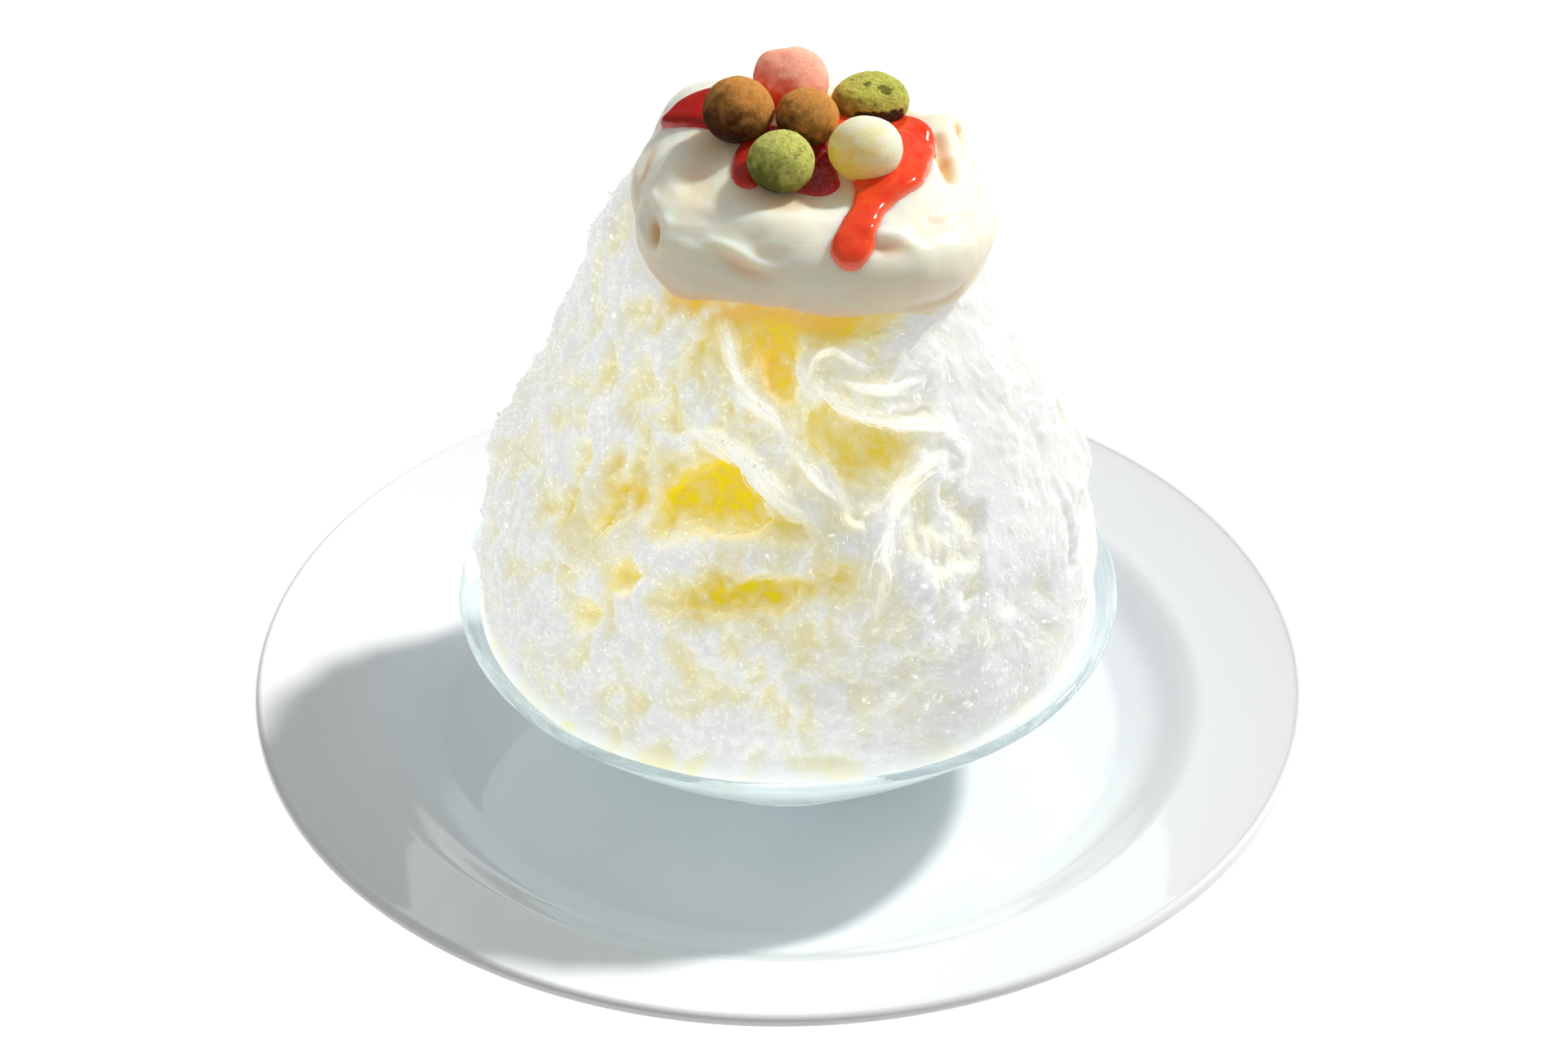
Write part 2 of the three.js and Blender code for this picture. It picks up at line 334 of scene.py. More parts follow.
def piece(
    mesh: bpy.types.Mesh, finish: bpy.types.Material, nodes: Sequence[str] = ()
) -> bpy.types.Object:
    """Makes a finished piece of a mesh in millimetres.

    Args:
        mesh: the mesh, named as the piece is.
        finish: its material.
        nodes: the CAD nodes that it stands for.

    Returns:
        The object, which rides on the one body.
    """
    move_points(mesh, points_of(mesh) * MM)
    mesh.polygons.foreach_set("use_smooth", np.ones(len(mesh.polygons), bool))
    mesh.materials.append(finish)
    made = bpy.data.objects.new(mesh.name, mesh)
    bpy.context.scene.collection.objects.link(made)
    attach(made, BODY)
    if nodes:
        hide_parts(*nodes)
    log.info("%s: %d triangles", mesh.name, len(triangles_of(mesh)))
    return made


@dataclass
class Copies:
    """Many small shapes to come: how each is turned and stretched, its place and its marks."""

    turns: np.ndarray
    places: np.ndarray
    marks: dict[str, np.ndarray]

    def joined(self, other: "Copies") -> "Copies":
        """Adds other copies after these."""
        marks = {
            key: np.concatenate([values, other.marks[key]]) for key, values in self.marks.items()
        }
        turns = np.concatenate([self.turns, other.turns])
        return Copies(turns, np.concatenate([self.places, other.places]), marks)


def repeat_shape(name: str, template: bmesh.types.BMesh, copies: Copies) -> bpy.types.Mesh:
    """Joins many turned and stretched copies of a small shape into one mesh.

    Args:
        name: name of the mesh.
        template: the small shape, which is freed.
        copies: where each copy goes.

    Returns:
        The joined mesh, in millimetres.
    """
    shape = to_mesh(template, name + "_shape")
    corners, faces = points_of(shape), triangles_of(shape)
    bpy.data.meshes.remove(shape)
    spread = np.einsum("vi,nij->nvj", corners, copies.turns) + copies.places[:, None, :]
    offsets = np.arange(len(copies.places))[:, None, None] * len(corners)
    joined = bpy.data.meshes.new(name)
    joined.from_pydata(
        spread.reshape(-1, 3).tolist(), [], (faces[None] + offsets).reshape(-1, 3).tolist()
    )
    for key, values in copies.marks.items():
        mark_points(joined, key, np.repeat(values, len(corners)))
    return joined


def join_meshes(name: str, parts: Sequence[bpy.types.Mesh], keys: Sequence[str]) -> bpy.types.Mesh:
    """Joins meshes into one and removes them.

    Args:
        name: name of the joined mesh.
        parts: the meshes.
        keys: the marks to keep.

    Returns:
        The joined mesh.
    """
    starts = np.cumsum([0] + [len(part.vertices) for part in parts])
    corners = np.vstack([points_of(part) for part in parts])
    faces = np.vstack([triangles_of(part) + start for part, start in zip(parts, starts)])
    joined = bpy.data.meshes.new(name)
    joined.from_pydata(corners.tolist(), [], faces.tolist())
    for key in keys:
        mark_points(joined, key, np.concatenate([marks_of(part, key) for part in parts]))
    for part in parts:
        bpy.data.meshes.remove(part)
    return joined


def frames_along(forward: np.ndarray, upward: np.ndarray, sizes: np.ndarray) -> np.ndarray:
    """Builds a turning and stretching matrix for each copy of a small shape.

    Args:
        forward: where each copy's own X axis points.
        upward: roughly where its Z axis points.
        sizes: its sizes along its own X, Y and Z.

    Returns:
        A 3 x 3 matrix for each copy.
    """
    ahead = unit(forward)
    aside = unit(np.cross(upward, ahead))
    above = np.cross(ahead, aside)
    return np.stack([ahead, aside, above], axis=1) * sizes[:, :, None]


def threads(
    name: str, centres: np.ndarray, wide: np.ndarray, marks: dict[str, np.ndarray]
) -> bpy.types.Mesh:
    """Makes fine bent threads that taper to both ends.

    Args:
        name: name of the mesh.
        centres: for each thread, the row of places that it runs through.
        wide: the greatest width of each thread from its middle line.
        marks: for each name, a value for each thread.

    Returns:
        The joined mesh, in millimetres.
    """
    count, rings = centres.shape[:2]
    template = bmesh.new()
    bmesh.ops.create_cone(
        template, cap_ends=True, segments=3, radius1=1.0, radius2=1.0, depth=rings - 1.0
    )
    long_edges = [edge for edge in template.edges if edge.verts[0].co.z * edge.verts[1].co.z < 0.0]
    bmesh.ops.subdivide_edges(template, edges=long_edges, cuts=rings - 2, use_grid_fill=True)
    still = Copies(np.tile(np.eye(3), (count, 1, 1)), np.zeros((count, 3)), marks)
    mesh = repeat_shape(name, template, still)
    flat = points_of(mesh).reshape(count, -1, 3)
    ring = np.rint(flat[0, :, 2] + 0.5 * (rings - 1.0)).astype(int)
    ahead = unit(np.gradient(centres, axis=1).reshape(-1, 3))
    side = unit(np.cross(ahead, ODD_WAY))
    up = np.cross(side, ahead).reshape(centres.shape)
    taper = 0.25 + 0.75 * np.sin(np.pi * np.linspace(0.0, 1.0, rings))
    across = flat[:, :, :1] * side.reshape(centres.shape)[:, ring] + flat[:, :, 1:2] * up[:, ring]
    spread = centres[:, ring] + across * (wide[:, None] * taper[ring])[:, :, None]
    move_points(mesh, spread.reshape(-1, 3))
    return mesh


# Material helpers ------------------------------------------------------------------------------


class Board:
    """A node tree with short ways to add nodes and link them."""

    def __init__(self, tree: bpy.types.NodeTree) -> None:
        """Keeps the tree that nodes are added to."""
        self.tree = tree

    def add(self, kind: str, inputs: dict[Any, Any] | None = None, **settings: Any) -> Any:
        """Adds a node.

        Args:
            kind: the node's type, without its leading word.
            inputs: values or sockets for its inputs, by name or number.
            settings: the node's own settings.

        Returns:
            The node.
        """
        node = self.tree.nodes.new("ShaderNode" + kind)
        for key, value in settings.items():
            setattr(node, key, value)
        for key, value in (inputs or {}).items():
            if isinstance(value, bpy.types.NodeSocket):
                self.tree.links.new(value, node.inputs[key])
            else:
                node.inputs[key].default_value = value
        return node

    def math(self, operation: str, a: Any, b: Any, c: Any = 0.0, clamp: bool = False) -> Any:
        """Adds a Math node and returns its output."""
        node = self.add("Math", {0: a, 1: b, 2: c}, operation=operation, use_clamp=clamp)
        return node.outputs[0]

    def mix(self, share: Any, first: Any, second: Any) -> Any:
        """Adds a Mix node for colours and returns its output."""
        inputs = {0: share, 6: as_rgba(first), 7: as_rgba(second)}
        return self.add("Mix", inputs, data_type="RGBA").outputs[2]

    def ramp(self, share: Any, stops: Sequence[tuple[float, Colour]]) -> Any:
        """Adds a colour ramp.

        Args:
            share: the socket that picks the place on the ramp.
            stops: the ramp's positions and colours.

        Returns:
            The colour output.
        """
        node = self.add("ValToRGB", {0: share})
        elements = node.color_ramp.elements
        while len(elements) < len(stops):
            elements.new(0.5)
        for element, (position, colour) in zip(elements, stops):
            element.position = position
            element.color = as_rgba(colour)
        return node.outputs[0]

    def range(
        self, value: Any, low: float, high: float, start: float = 0.0, end: float = 1.0
    ) -> Any:
        """Adds a smooth Map Range node and returns its output."""
        inputs = {0: value, 1: low, 2: high, 3: start, 4: end}
        return self.add("MapRange", inputs, interpolation_type="SMOOTHSTEP").outputs[0]

    def noise(self, place: Any, size: float, detail: float, distortion: float = 0.0) -> Any:
        """Adds a Noise texture whose swellings have a size in millimetres."""
        scale = 1.0 / (size * MM)
        inputs = {"Vector": place, "Scale": scale, "Detail": detail, "Distortion": distortion}
        return self.add("TexNoise", inputs).outputs["Fac"]

    def cells(self, place: Any, size: float) -> Any:
        """Adds a Voronoi texture with cells of a size in millimetres and returns its distance."""
        inputs = {"Vector": place, "Scale": 1.0 / (size * MM)}
        return self.add("TexVoronoi", inputs).outputs["Distance"]

    def place(self) -> Any:
        """Adds Object coordinates and returns them."""
        return self.add("TexCoord").outputs["Object"]

    def attribute(self, name: str) -> Any:
        """Adds the reading of a value stored on the mesh."""
        return self.add("Attribute", attribute_name=name).outputs["Fac"]

    def bump(self, height: Any, distance: float, strength: float = 1.0, normal: Any = None) -> Any:
        """Adds a Bump node with a depth in millimetres and returns its normal."""
        inputs = {"Height": height, "Distance": distance * MM, "Strength": strength}
        if normal is not None:
            inputs["Normal"] = normal
        return self.add("Bump", inputs).outputs["Normal"]


def as_rgba(colour: Any) -> Any:
    """Adds the fourth channel to a colour of three, and leaves a socket as it is."""
    if isinstance(colour, tuple) and len(colour) == 3:
        return (*colour, 1.0)
    return colour


def new_material(name: str) -> tuple[bpy.types.Material, Board, Any]:
    """Starts a material.

    Args:
        name: the material's name.

    Returns:
        The material, its board and its Principled shader.
    """
    material = bpy.data.materials.new(name)
    material.use_nodes = True
    board = Board(material.node_tree)
    return material, board, material.node_tree.nodes["Principled BSDF"]


def settle(board: Board, shader: Any, values: dict[str, Any]) -> None:
    """Sets a shader's inputs to values, or links them to sockets."""
    for key, value in values.items():
        if isinstance(value, bpy.types.NodeSocket):
            board.tree.links.new(value, shader.inputs[key])
        else:
            socket = shader.inputs[key]
            socket.default_value = as_rgba(value) if socket.type == "RGBA" else value


class Effect(Enum):
    """The shared surface effects, each a node group."""

    FROST = "frost"
    DUST = "dust"


def effect_group(effect: Effect) -> bpy.types.NodeTree:
    """Builds a shared surface effect once, and returns it from then on.

    Args:
        effect: which effect.

    Returns:
        The node group, with a Height and a Mask output.
    """
    if effect.value in bpy.data.node_groups:
        return bpy.data.node_groups[effect.value]
    group = bpy.data.node_groups.new(effect.value, "ShaderNodeTree")
    for name, way, kind in (
        ("Place", "INPUT", "Vector"), ("Scale", "INPUT", "Float"), ("Amount", "INPUT", "Float"),
        ("Height", "OUTPUT", "Float"), ("Mask", "OUTPUT", "Float"),
    ):
        group.interface.new_socket(name, in_out=way, socket_type="NodeSocket" + kind)
    board = Board(group)
    given = group.nodes.new("NodeGroupInput").outputs
    fill = {Effect.FROST: fill_frost, Effect.DUST: fill_dust}[effect]
    height, mask = fill(board, given["Place"], given["Scale"], given["Amount"])
    result = group.nodes.new("NodeGroupOutput")
    group.links.new(height, result.inputs["Height"])
    group.links.new(mask, result.inputs["Mask"])
    return group


def fill_frost(board: Board, place: Any, scale: Any, amount: Any) -> tuple[Any, Any]:
    """Fills the frost group: packed crystals, with a mask of the clear ones.

    Args:
        board: the group's board.
        place: the socket of the coordinates.
        scale: the socket of the crystals' number in a metre.
        amount: the socket of how rough the frost is.

    Returns:
        The height and mask sockets.
    """
    cells = board.add("TexVoronoi", {"Vector": place, "Scale": scale})
    finer = board.math("MULTIPLY", scale, 2.3)
    small = board.add("TexVoronoi", {"Vector": place, "Scale": finer})
    both = board.math("MULTIPLY_ADD", small.outputs["Distance"], 0.5, cells.outputs["Distance"])
    height = board.math("MULTIPLY", both, amount)
    shade = board.add("SeparateColor", {0: cells.outputs["Color"]}).outputs[0]
    return height, board.range(shade, 0.55, 0.95)


def fill_dust(board: Board, place: Any, scale: Any, amount: Any) -> tuple[Any, Any]:
    """Fills the dust group: clinging powder, with a mask of its thin spots.

    Args:
        board: the group's board.
        place: the socket of the coordinates.
        scale: the socket of the specks' number in a metre.
        amount: the socket of how many thin spots there are.

    Returns:
        The height and mask sockets.
    """
    fine = {"Vector": place, "Scale": scale, "Detail": 5.0, "Roughness": 0.7}
    grains = board.add("TexNoise", fine).outputs["Fac"]
    wide = board.math("MULTIPLY", scale, 0.3)
    coarse = {"Vector": place, "Scale": wide, "Detail": 6.0, "Roughness": 0.75}
    patches = board.add("TexNoise", coarse).outputs["Fac"]
    level = board.math("SUBTRACT", patches, board.math("SUBTRACT", 0.72, amount))
    mask = board.math("MULTIPLY", level, 6.0, clamp=True)
    height = board.math("SUBTRACT", grains, board.math("MULTIPLY", mask, 0.25))
    return height, mask


def use_effect(
    board: Board, effect: Effect, place: Any, size: float, amount: Any
) -> tuple[Any, Any]:
    """Places a shared effect in a material.

    Args:
        board: the material's board.
        effect: which effect.
        place: the coordinates' socket.
        size: size of the grains in millimetres.
        amount: the effect's amount.

    Returns:
        The height and mask sockets.
    """
    inputs = {"Place": place, "Scale": 1.0 / (size * MM), "Amount": amount}
    node = board.add("Group", inputs, node_tree=effect_group(effect))
    return node.outputs["Height"], node.outputs["Mask"]


# Finishes --------------------------------------------------------------------------------------


@dataclass(frozen=True)
class GlazeFinish:
    """White glossy glaze, duller where it gathers, over a bare foot, with painted light that
    whitens it towards the rim.
    """

    white: Colour = (0.87, 0.89, 0.90)
    pooled: Colour = (0.835, 0.865, 0.875)
    rim: Colour = (0.905, 0.92, 0.927)
    bare: Colour = (0.74, 0.72, 0.68)
    speck: Colour = (0.55, 0.53, 0.5)
    rim_from: tuple[float, float] = (82.0, 104.0)  # radii between which the painted light on the rim sets in
    bare_below: float = 0.5  # the foot is unglazed up to this height

    def build(self) -> bpy.types.Material:
        """Makes the material."""
        material, board, shader = new_material("white_glaze")
        place = board.place()
        z = board.add("SeparateXYZ", {0: place}).outputs[2]
        cloud = board.noise(place, 34.0, 3.0)
        colour = board.mix(board.range(cloud, 0.35, 0.7), self.white, self.pooled)
        flat = board.add("VectorMath", {0: place, 1: (1.0, 1.0, 0.0)}, operation="MULTIPLY")
        out = board.add("VectorMath", {0: flat.outputs[0]}, operation="LENGTH").outputs["Value"]
        # Painted light: the glaze turns whiter towards the rim.
        rim_share = board.range(out, self.rim_from[0] * MM, self.rim_from[1] * MM)
        colour = board.mix(rim_share, colour, self.rim)
        foot = board.range(z, self.bare_below * MM, (self.bare_below + 0.3) * MM, 1.0, 0.0)
        speck = board.range(board.cells(place, 3.4), 0.0, 0.07, 1.0, 0.0)
        colour = board.mix(board.math("MULTIPLY", speck, 0.12), colour, self.speck)
        waves = board.bump(board.noise(place, 11.0, 2.0), 0.12, 0.35)
        fine = board.bump(board.noise(place, 1.4, 2.0), 0.015, 0.3, waves)
        settle(board, shader, {
            "Base Color": board.mix(foot, colour, self.bare),
            "Roughness": board.math("MULTIPLY_ADD", foot, 0.6, 0.09),
            "Normal": fine,
            "IOR": 1.5,
            "Specular IOR Level": 0.5,
            "Coat Weight": 0.6,
            "Coat Roughness": 0.03,
        })
        return material


@dataclass(frozen=True)
class GlassFinish:
    """Clear, faintly sea-green glass with slow waves, a few seeds and streaks of painted glow."""

    tint: Colour = (0.77, 0.835, 0.85)
    pale: Colour = (0.87, 0.92, 0.93)
    painted_streak_glow: Colour = (0.72, 0.86, 0.89)
    painted_glow: float = 0.15  # painted glow: emitted light that stands in for light gathering in its streaks, as a share
    index: float = 1.06  # low, because the wall is filled with ice and not with air

    def build(self) -> bpy.types.Material:
        """Makes the material."""
        material, board, shader = new_material("clear_glass")
        place = board.place()
        stretch = board.add("Mapping", {"Vector": place, "Scale": (1.0, 1.0, 2.6)})
        waves = board.bump(board.noise(stretch.outputs[0], 7.0, 3.0, 0.6), 0.5, 0.3)
        seeds = board.range(board.cells(place, 5.5), 0.0, 0.06, 1.0, 0.0)
        marks = board.bump(seeds, 0.1, 0.5, waves)
        cloud = board.noise(place, 20.0, 2.0)
        flat = board.add("SeparateXYZ", {0: place}).outputs
        slow = [board.math("MULTIPLY", flat[axis], 0.06) for axis in range(2)]
        lanes = board.add("CombineXYZ", {0: slow[0], 1: slow[1], 2: board.attribute("ring")})
        streaks = board.noise(lanes.outputs[0], 1.0, 4.0)
        marks = board.bump(streaks, 0.25, 0.5, marks)
        settle(board, shader, {
            "Base Color": board.mix(cloud, self.tint, self.pale),
            # Painted highlight: the streaks emit a pale sea-green light.
            "Emission Color": board.mix(
                board.range(streaks, 0.42, 0.70, 0.3, 1.0), (0.0, 0.0, 0.0), self.painted_streak_glow
            ),
            "Emission Strength": self.painted_glow,
            "Roughness": board.range(cloud, 0.3, 0.8, 0.0, 0.03),
            "Normal": marks,
            "IOR": self.index,
            "Transmission Weight": 0.88,
            "Coat Weight": 0.25,
            "Coat Roughness": 0.02,
        })
        return material


# The ice's colour by how much syrup it holds.
SYRUP_STOPS: list[tuple[float, Colour]] = [
    (0.0, (0.785, 0.79, 0.78)),
    (0.12, (0.79, 0.785, 0.655)),
    (0.35, (0.80, 0.745, 0.47)),
    (0.65, (0.77, 0.645, 0.21)),
    (0.85, (0.76, 0.61, 0.07)),
    (1.0, (0.81, 0.67, 0.012)),
]
AMBER_SHADE: Colour = (0.84, 0.50, 0.09)
MELTED: Colour = (0.56, 0.64, 0.65)


@dataclass(frozen=True)
class IceFinish:
    """Shaved ice that scatters light, glows with painted light and holds yellow syrup where the
    mesh says so.
    """

    name: str
    crystals: float  # size of a crystal in millimetres
    relief: float  # depth of the crystals in millimetres
    roughness: float
    reach: float  # how far light spreads in it, in millimetres
    painted_glow: float  # painted glow: emitted light that stands in for light come through the heap, as a share
    fibres: float = 0.0  # depth of fine fibres in millimetres
    dim: float = 1.0  # how much paler or darker it is than the syrup's own colours
    sheer: bool = False  # thin enough to see through between its fibres

    def build(self) -> bpy.types.Material:
        """Makes the material."""
        material, board, shader = new_material(self.name)
        place = board.place()
        syrup = board.attribute("syrup")
        grainy = board.attribute("grainy")
        patch = board.noise(place, 2.6, 4.0)
        soaked = board.math("MULTIPLY", syrup, board.range(patch, 0.25, 0.75, 0.78, 1.2))
        # Painted shade: browner syrup under the cream's edge and in the deepest hollows.
        amber = board.math("MULTIPLY", board.attribute("amber"), board.range(soaked, 0.05, 0.6))
        tint = board.mix(amber, board.ramp(soaked, SYRUP_STOPS), AMBER_SHADE)
        wet = board.range(patch, 0.3, 0.7, 0.45, 0.75)
        tint = board.mix(board.math("MULTIPLY", board.attribute("melt"), wet), tint, MELTED)
        # Silky ice is darker than grainy ice: partly its clearer look, partly painted shade that
        # holds down the sunlight on the silky, sunlit right of the heap.
        dark = board.math("MULTIPLY_ADD", grainy, -0.13 * self.dim, 1.0 - 0.87 * self.dim)
        colour = board.mix(dark, tint, (0.0, 0.0, 0.0))
        height, clear = use_effect(board, Effect.FROST, place, self.crystals, grainy)
        normal = board.bump(height, self.relief, 0.9)
        if self.fibres:
            normal = self.fibre_bump(board, place, grainy, normal)
        values = {
            "Base Color": colour,
            "Roughness": board.range(clear, 0.0, 1.0, self.roughness, self.roughness * 0.5),
            "Normal": normal,
            "IOR": 1.31,
            "Subsurface Weight": 1.0,
            "Subsurface Radius": (1.0, 0.97, 0.86),
            "Subsurface Scale": self.reach * MM,
            "Emission Color": colour,
            "Emission Strength": self.painted_glow,
        }
        if self.sheer:
            values.update(self.sheer_values(board))
        settle(board, shader, values)
        return material

    def fibre_bump(self, board: Board, place: Any, grainy: Any, normal: Any) -> Any:
        """Adds fine fibres that sweep down the heap.

        Args:
            board: the material's board.
            place: the coordinates' socket.
            grainy: the socket of how loose the ice is.
            normal: the normal so far.

        Returns:
            The normal's socket.
        """
        drift = board.noise(place, 16.0, 1.0)
        bend = board.add("VectorMath", {0: place, 1: drift}, operation="ADD")
        turned = board.add("Mapping", {"Vector": bend.outputs[0], "Rotation": (0.0, 0.672, 0.0)})
        along = board.add("Mapping", {"Vector": turned.outputs[0], "Scale": (1.0, 1.0, 0.11)})
        hair = board.noise(along.outputs[0], 0.42, 4.0)
        silky = board.math("SUBTRACT", 1.1, grainy)
        return board.bump(board.math("MULTIPLY", hair, silky), self.fibres, 0.8, normal)

    def sheer_values(self, board: Board) -> dict[str, Any]:
        """Makes a sheet see-through between fibres that run along it and out to its free edge.

        Args:
            board: the material's board.

        Returns:
            The shader's value for how solid the sheet is.
        """
        along, across, span = (board.attribute(name) for name in ("along", "across", "span"))
        bright = board.attribute("bright")
        skewed = board.math("MULTIPLY_ADD", along, -0.32, span)
        flat = board.add("CombineXYZ", {0: board.math("MULTIPLY", along, 0.14), 1: skewed})
        inputs = {"Vector": flat.outputs[0], "Scale": 1.9, "Detail": 5.0, "Roughness": 0.62}
        shift = board.math("SUBTRACT", board.add("TexNoise", inputs).outputs["Fac"], 0.5)
        fade = board.range(across, 0.2, 1.0, 1.2, -0.35)
        solid = board.math("MULTIPLY_ADD", shift, 3.0, fade, clamp=True)
        return {"Alpha": board.math("MULTIPLY", solid, board.range(bright, 0.0, 0.7, 0.0, 1.0))}


@dataclass(frozen=True)
class CreamFinish:
    """Whipped cream: soft, with a wet sheen and faint drag marks.

    Painted warm shade darkens its creases, its underside and the cream near the balls, and a faint
    painted glow lifts it.
    """

    white: Colour = (0.985, 0.925, 0.79)
    shade: Colour = (0.98, 0.895, 0.72)
    fold: Colour = (0.80, 0.56, 0.25)
    reach: float = 5.0

    def build(self) -> bpy.types.Material:
        """Makes the material."""
        material, board, shader = new_material("whipped_cream")
        place = board.place()
        cloud = board.noise(place, 15.0, 3.0)
        drag = board.add("Mapping", {"Vector": place, "Scale": (0.35, 1.0, 1.6)})
        lines = board.bump(board.noise(drag.outputs[0], 2.8, 4.0, 1.0), 0.3, 0.35)
        pores = board.bump(board.noise(place, 0.7, 3.0), 0.03, 0.5, lines)
        smooth = board.mix(board.range(cloud, 0.35, 0.75), self.white, self.shade)
        settle(board, shader, {
            "Base Color": board.mix(board.attribute("fold"), smooth, self.fold),
            "Roughness": board.range(cloud, 0.3, 0.7, 0.3, 0.46),
            "Normal": pores,
            "Subsurface Weight": 1.0,
            "Subsurface Radius": (1.0, 0.58, 0.26),
            "Subsurface Scale": self.reach * MM,
            "Specular IOR Level": 0.3,
            # A faint painted glow: the cream emits its own colour, which lifts its shade.
            "Emission Color": smooth,
            "Emission Strength": 0.05,
        })
        return material


@dataclass(frozen=True)
class PowderFinish:
    """Powder clinging to a chocolate ball, thin in spots where what is under it shows, with painted
    shade in that under colour over its lower left.
    """

    name: str
    powder: Colour
    # the colour under the powder, which also paints the shade on the ball's lower left
    under: Colour
    speck: float  # size of the powder's grains in millimetres
    thin: float  # share that is thin
    relief: float  # depth in millimetres
    sheen: float = 0.0
    reach: float = 0.4
    soft: float = 0.2  # share of the light that goes through it
    painted_glow: float = 0.0  # painted glow: emitted light that stands in for light come through the ball, as a share

    def build(self) -> bpy.types.Material:
        """Makes the material."""
        material, board, shader = new_material(self.name)
        place = board.place()
        height, spots = use_effect(board, Effect.DUST, place, self.speck, self.thin)
        wet, bare = board.attribute("wet"), board.attribute("bare")
        shown = board.math("MAXIMUM", spots, board.math("MAXIMUM", wet, bare))
        cloud = board.noise(place, 5.0, 3.0)
        dusted = board.mix(board.range(cloud, 0.3, 0.75), self.powder, paler(self.powder, 1.12))
        deep = board.mix(wet, self.under, paler(self.under, 0.4))
        speckle = board.add("TexVoronoi", {"Vector": place, "Scale": 1.0 / (1.5 * self.speck * MM)})
        shade = board.add("SeparateColor", {0: speckle.outputs["Color"]}).outputs[0]
        flecked = board.mix(board.range(shade, 0.0, 1.0, 0.22, 0.0), dusted, self.under)
        colour = board.mix(shown, flecked, deep)
        settle(board, shader, {
            "Base Color": colour,
            "Emission Color": colour,
            "Emission Strength": self.painted_glow,
            "Roughness": board.range(wet, 0.2, 0.8, 0.92, 0.22),
            "Normal": board.bump(height, self.relief),
            "Sheen Weight": self.sheen,
            "Sheen Roughness": 0.5,
            "Subsurface Weight": self.soft,
            "Subsurface Radius": (1.0, 0.6, 0.4),
            "Subsurface Scale": self.reach * MM,
            "Specular IOR Level": 0.12,
        })
        return material


def paler(colour: Colour, share: float) -> Colour:
    """Multiplies a colour, kept between 0 and 1."""
    return tuple(min(1.0, part * share) for part in colour)


# The sauce's colour by its depth: coral for the runs in the light, and a darker copy, painted
# shade, for the runs that lie in shade.
CORAL_STOPS: list[tuple[float, Colour]] = [
    (0.05, (0.90, 0.28, 0.17)),
    (0.3, (0.92, 0.15, 0.06)),
    (0.65, (0.92, 0.085, 0.022)),
    (1.0, (0.86, 0.035, 0.008)),
]
DEEP_SHADE_STOPS: list[tuple[float, Colour]] = [
    (0.05, (0.55, 0.008, 0.010)),
    (0.35, (0.50, 0.004, 0.006)),
    (0.64, (0.26, 0.002, 0.003)),
    (0.85, (0.44, 0.002, 0.002)),
]


@dataclass(frozen=True)
class SauceFinish:
    """Red fruit sauce: coral where the cream shines through, with a deep red copy of its colour
    painted on the runs that lie in shade.
    """

    pulp: Colour = (0.62, 0.36, 0.37)
    reach: float = 0.9
    # painted glow: emitted light that stands in for light come through the sauce, as a share
    painted_glow: float = 0.1

    def build(self) -> bpy.types.Material:
        """Makes the material."""
        material, board, shader = new_material("red_sauce")
        place = board.place()
        depth, tone, frost = (board.attribute(name) for name in ("depth", "tone", "frost"))
        uneven = board.math("SUBTRACT", board.noise(place, 3.6, 3.0), 0.5)
        shift = board.math("MULTIPLY", uneven, 0.9)
        cloudy = board.math("MULTIPLY_ADD", depth, 0.78, shift)
        thick = board.math("MULTIPLY_ADD", depth, 0.65, 0.16)
        even = board.math("MULTIPLY_ADD", shift, 0.35, thick)
        # Painted shade: the shaded runs take the deep red copy of the colour.
        red = board.mix(tone, board.ramp(cloudy, CORAL_STOPS), board.ramp(even, DEEP_SHADE_STOPS))
        frayed = board.range(board.noise(place, 0.9, 3.0), 0.35, 0.75, 0.05, 0.6)
        veil = board.math("MULTIPLY", frost, frayed)
        settle(board, shader, {
            "Base Color": board.mix(veil, red, self.pulp),
            "Roughness": board.range(veil, 0.1, 0.9, 0.07, 0.55),
            "Normal": board.bump(board.noise(place, 3.2, 2.0), 0.22, 0.6),
            "Subsurface Weight": 0.6,
            "Subsurface Radius": (1.0, 0.10, 0.06),
            "Subsurface Scale": self.reach * MM,
            "Specular IOR Level": 0.12,
            "Coat Weight": board.range(veil, 0.1, 0.8, 1.0, 0.2),
            "Coat Roughness": 0.13,
            "Coat IOR": 1.38,
            "Emission Color": red,
            "Emission Strength": self.painted_glow,
        })
        return material


@dataclass(frozen=True)
class FloorFinish:
    """A plain white floor that glows to whoever looks at it, so that it throws little light up."""

    def build(self) -> bpy.types.Material:
        """Makes the material."""
        material, board, shader = new_material("studio_floor")
        cloud = board.noise(board.place(), 300.0, 2.0)
        diffuse = board.add("LightPath").outputs["Is Diffuse Ray"]
        seen = board.math("SUBTRACT", 1.0, diffuse)
        settle(board, shader, {
            "Base Color": board.mix(cloud, (0.50, 0.50, 0.50), (0.52, 0.52, 0.52)),
            "Roughness": 0.9,
            "Specular IOR Level": 0.0,
            "Emission Color": (1.0, 1.0, 1.0),
            "Emission Strength": board.math("MULTIPLY", seen, 0.95),
        })
        return material


# Plate -----------------------------------------------------------------------------------------


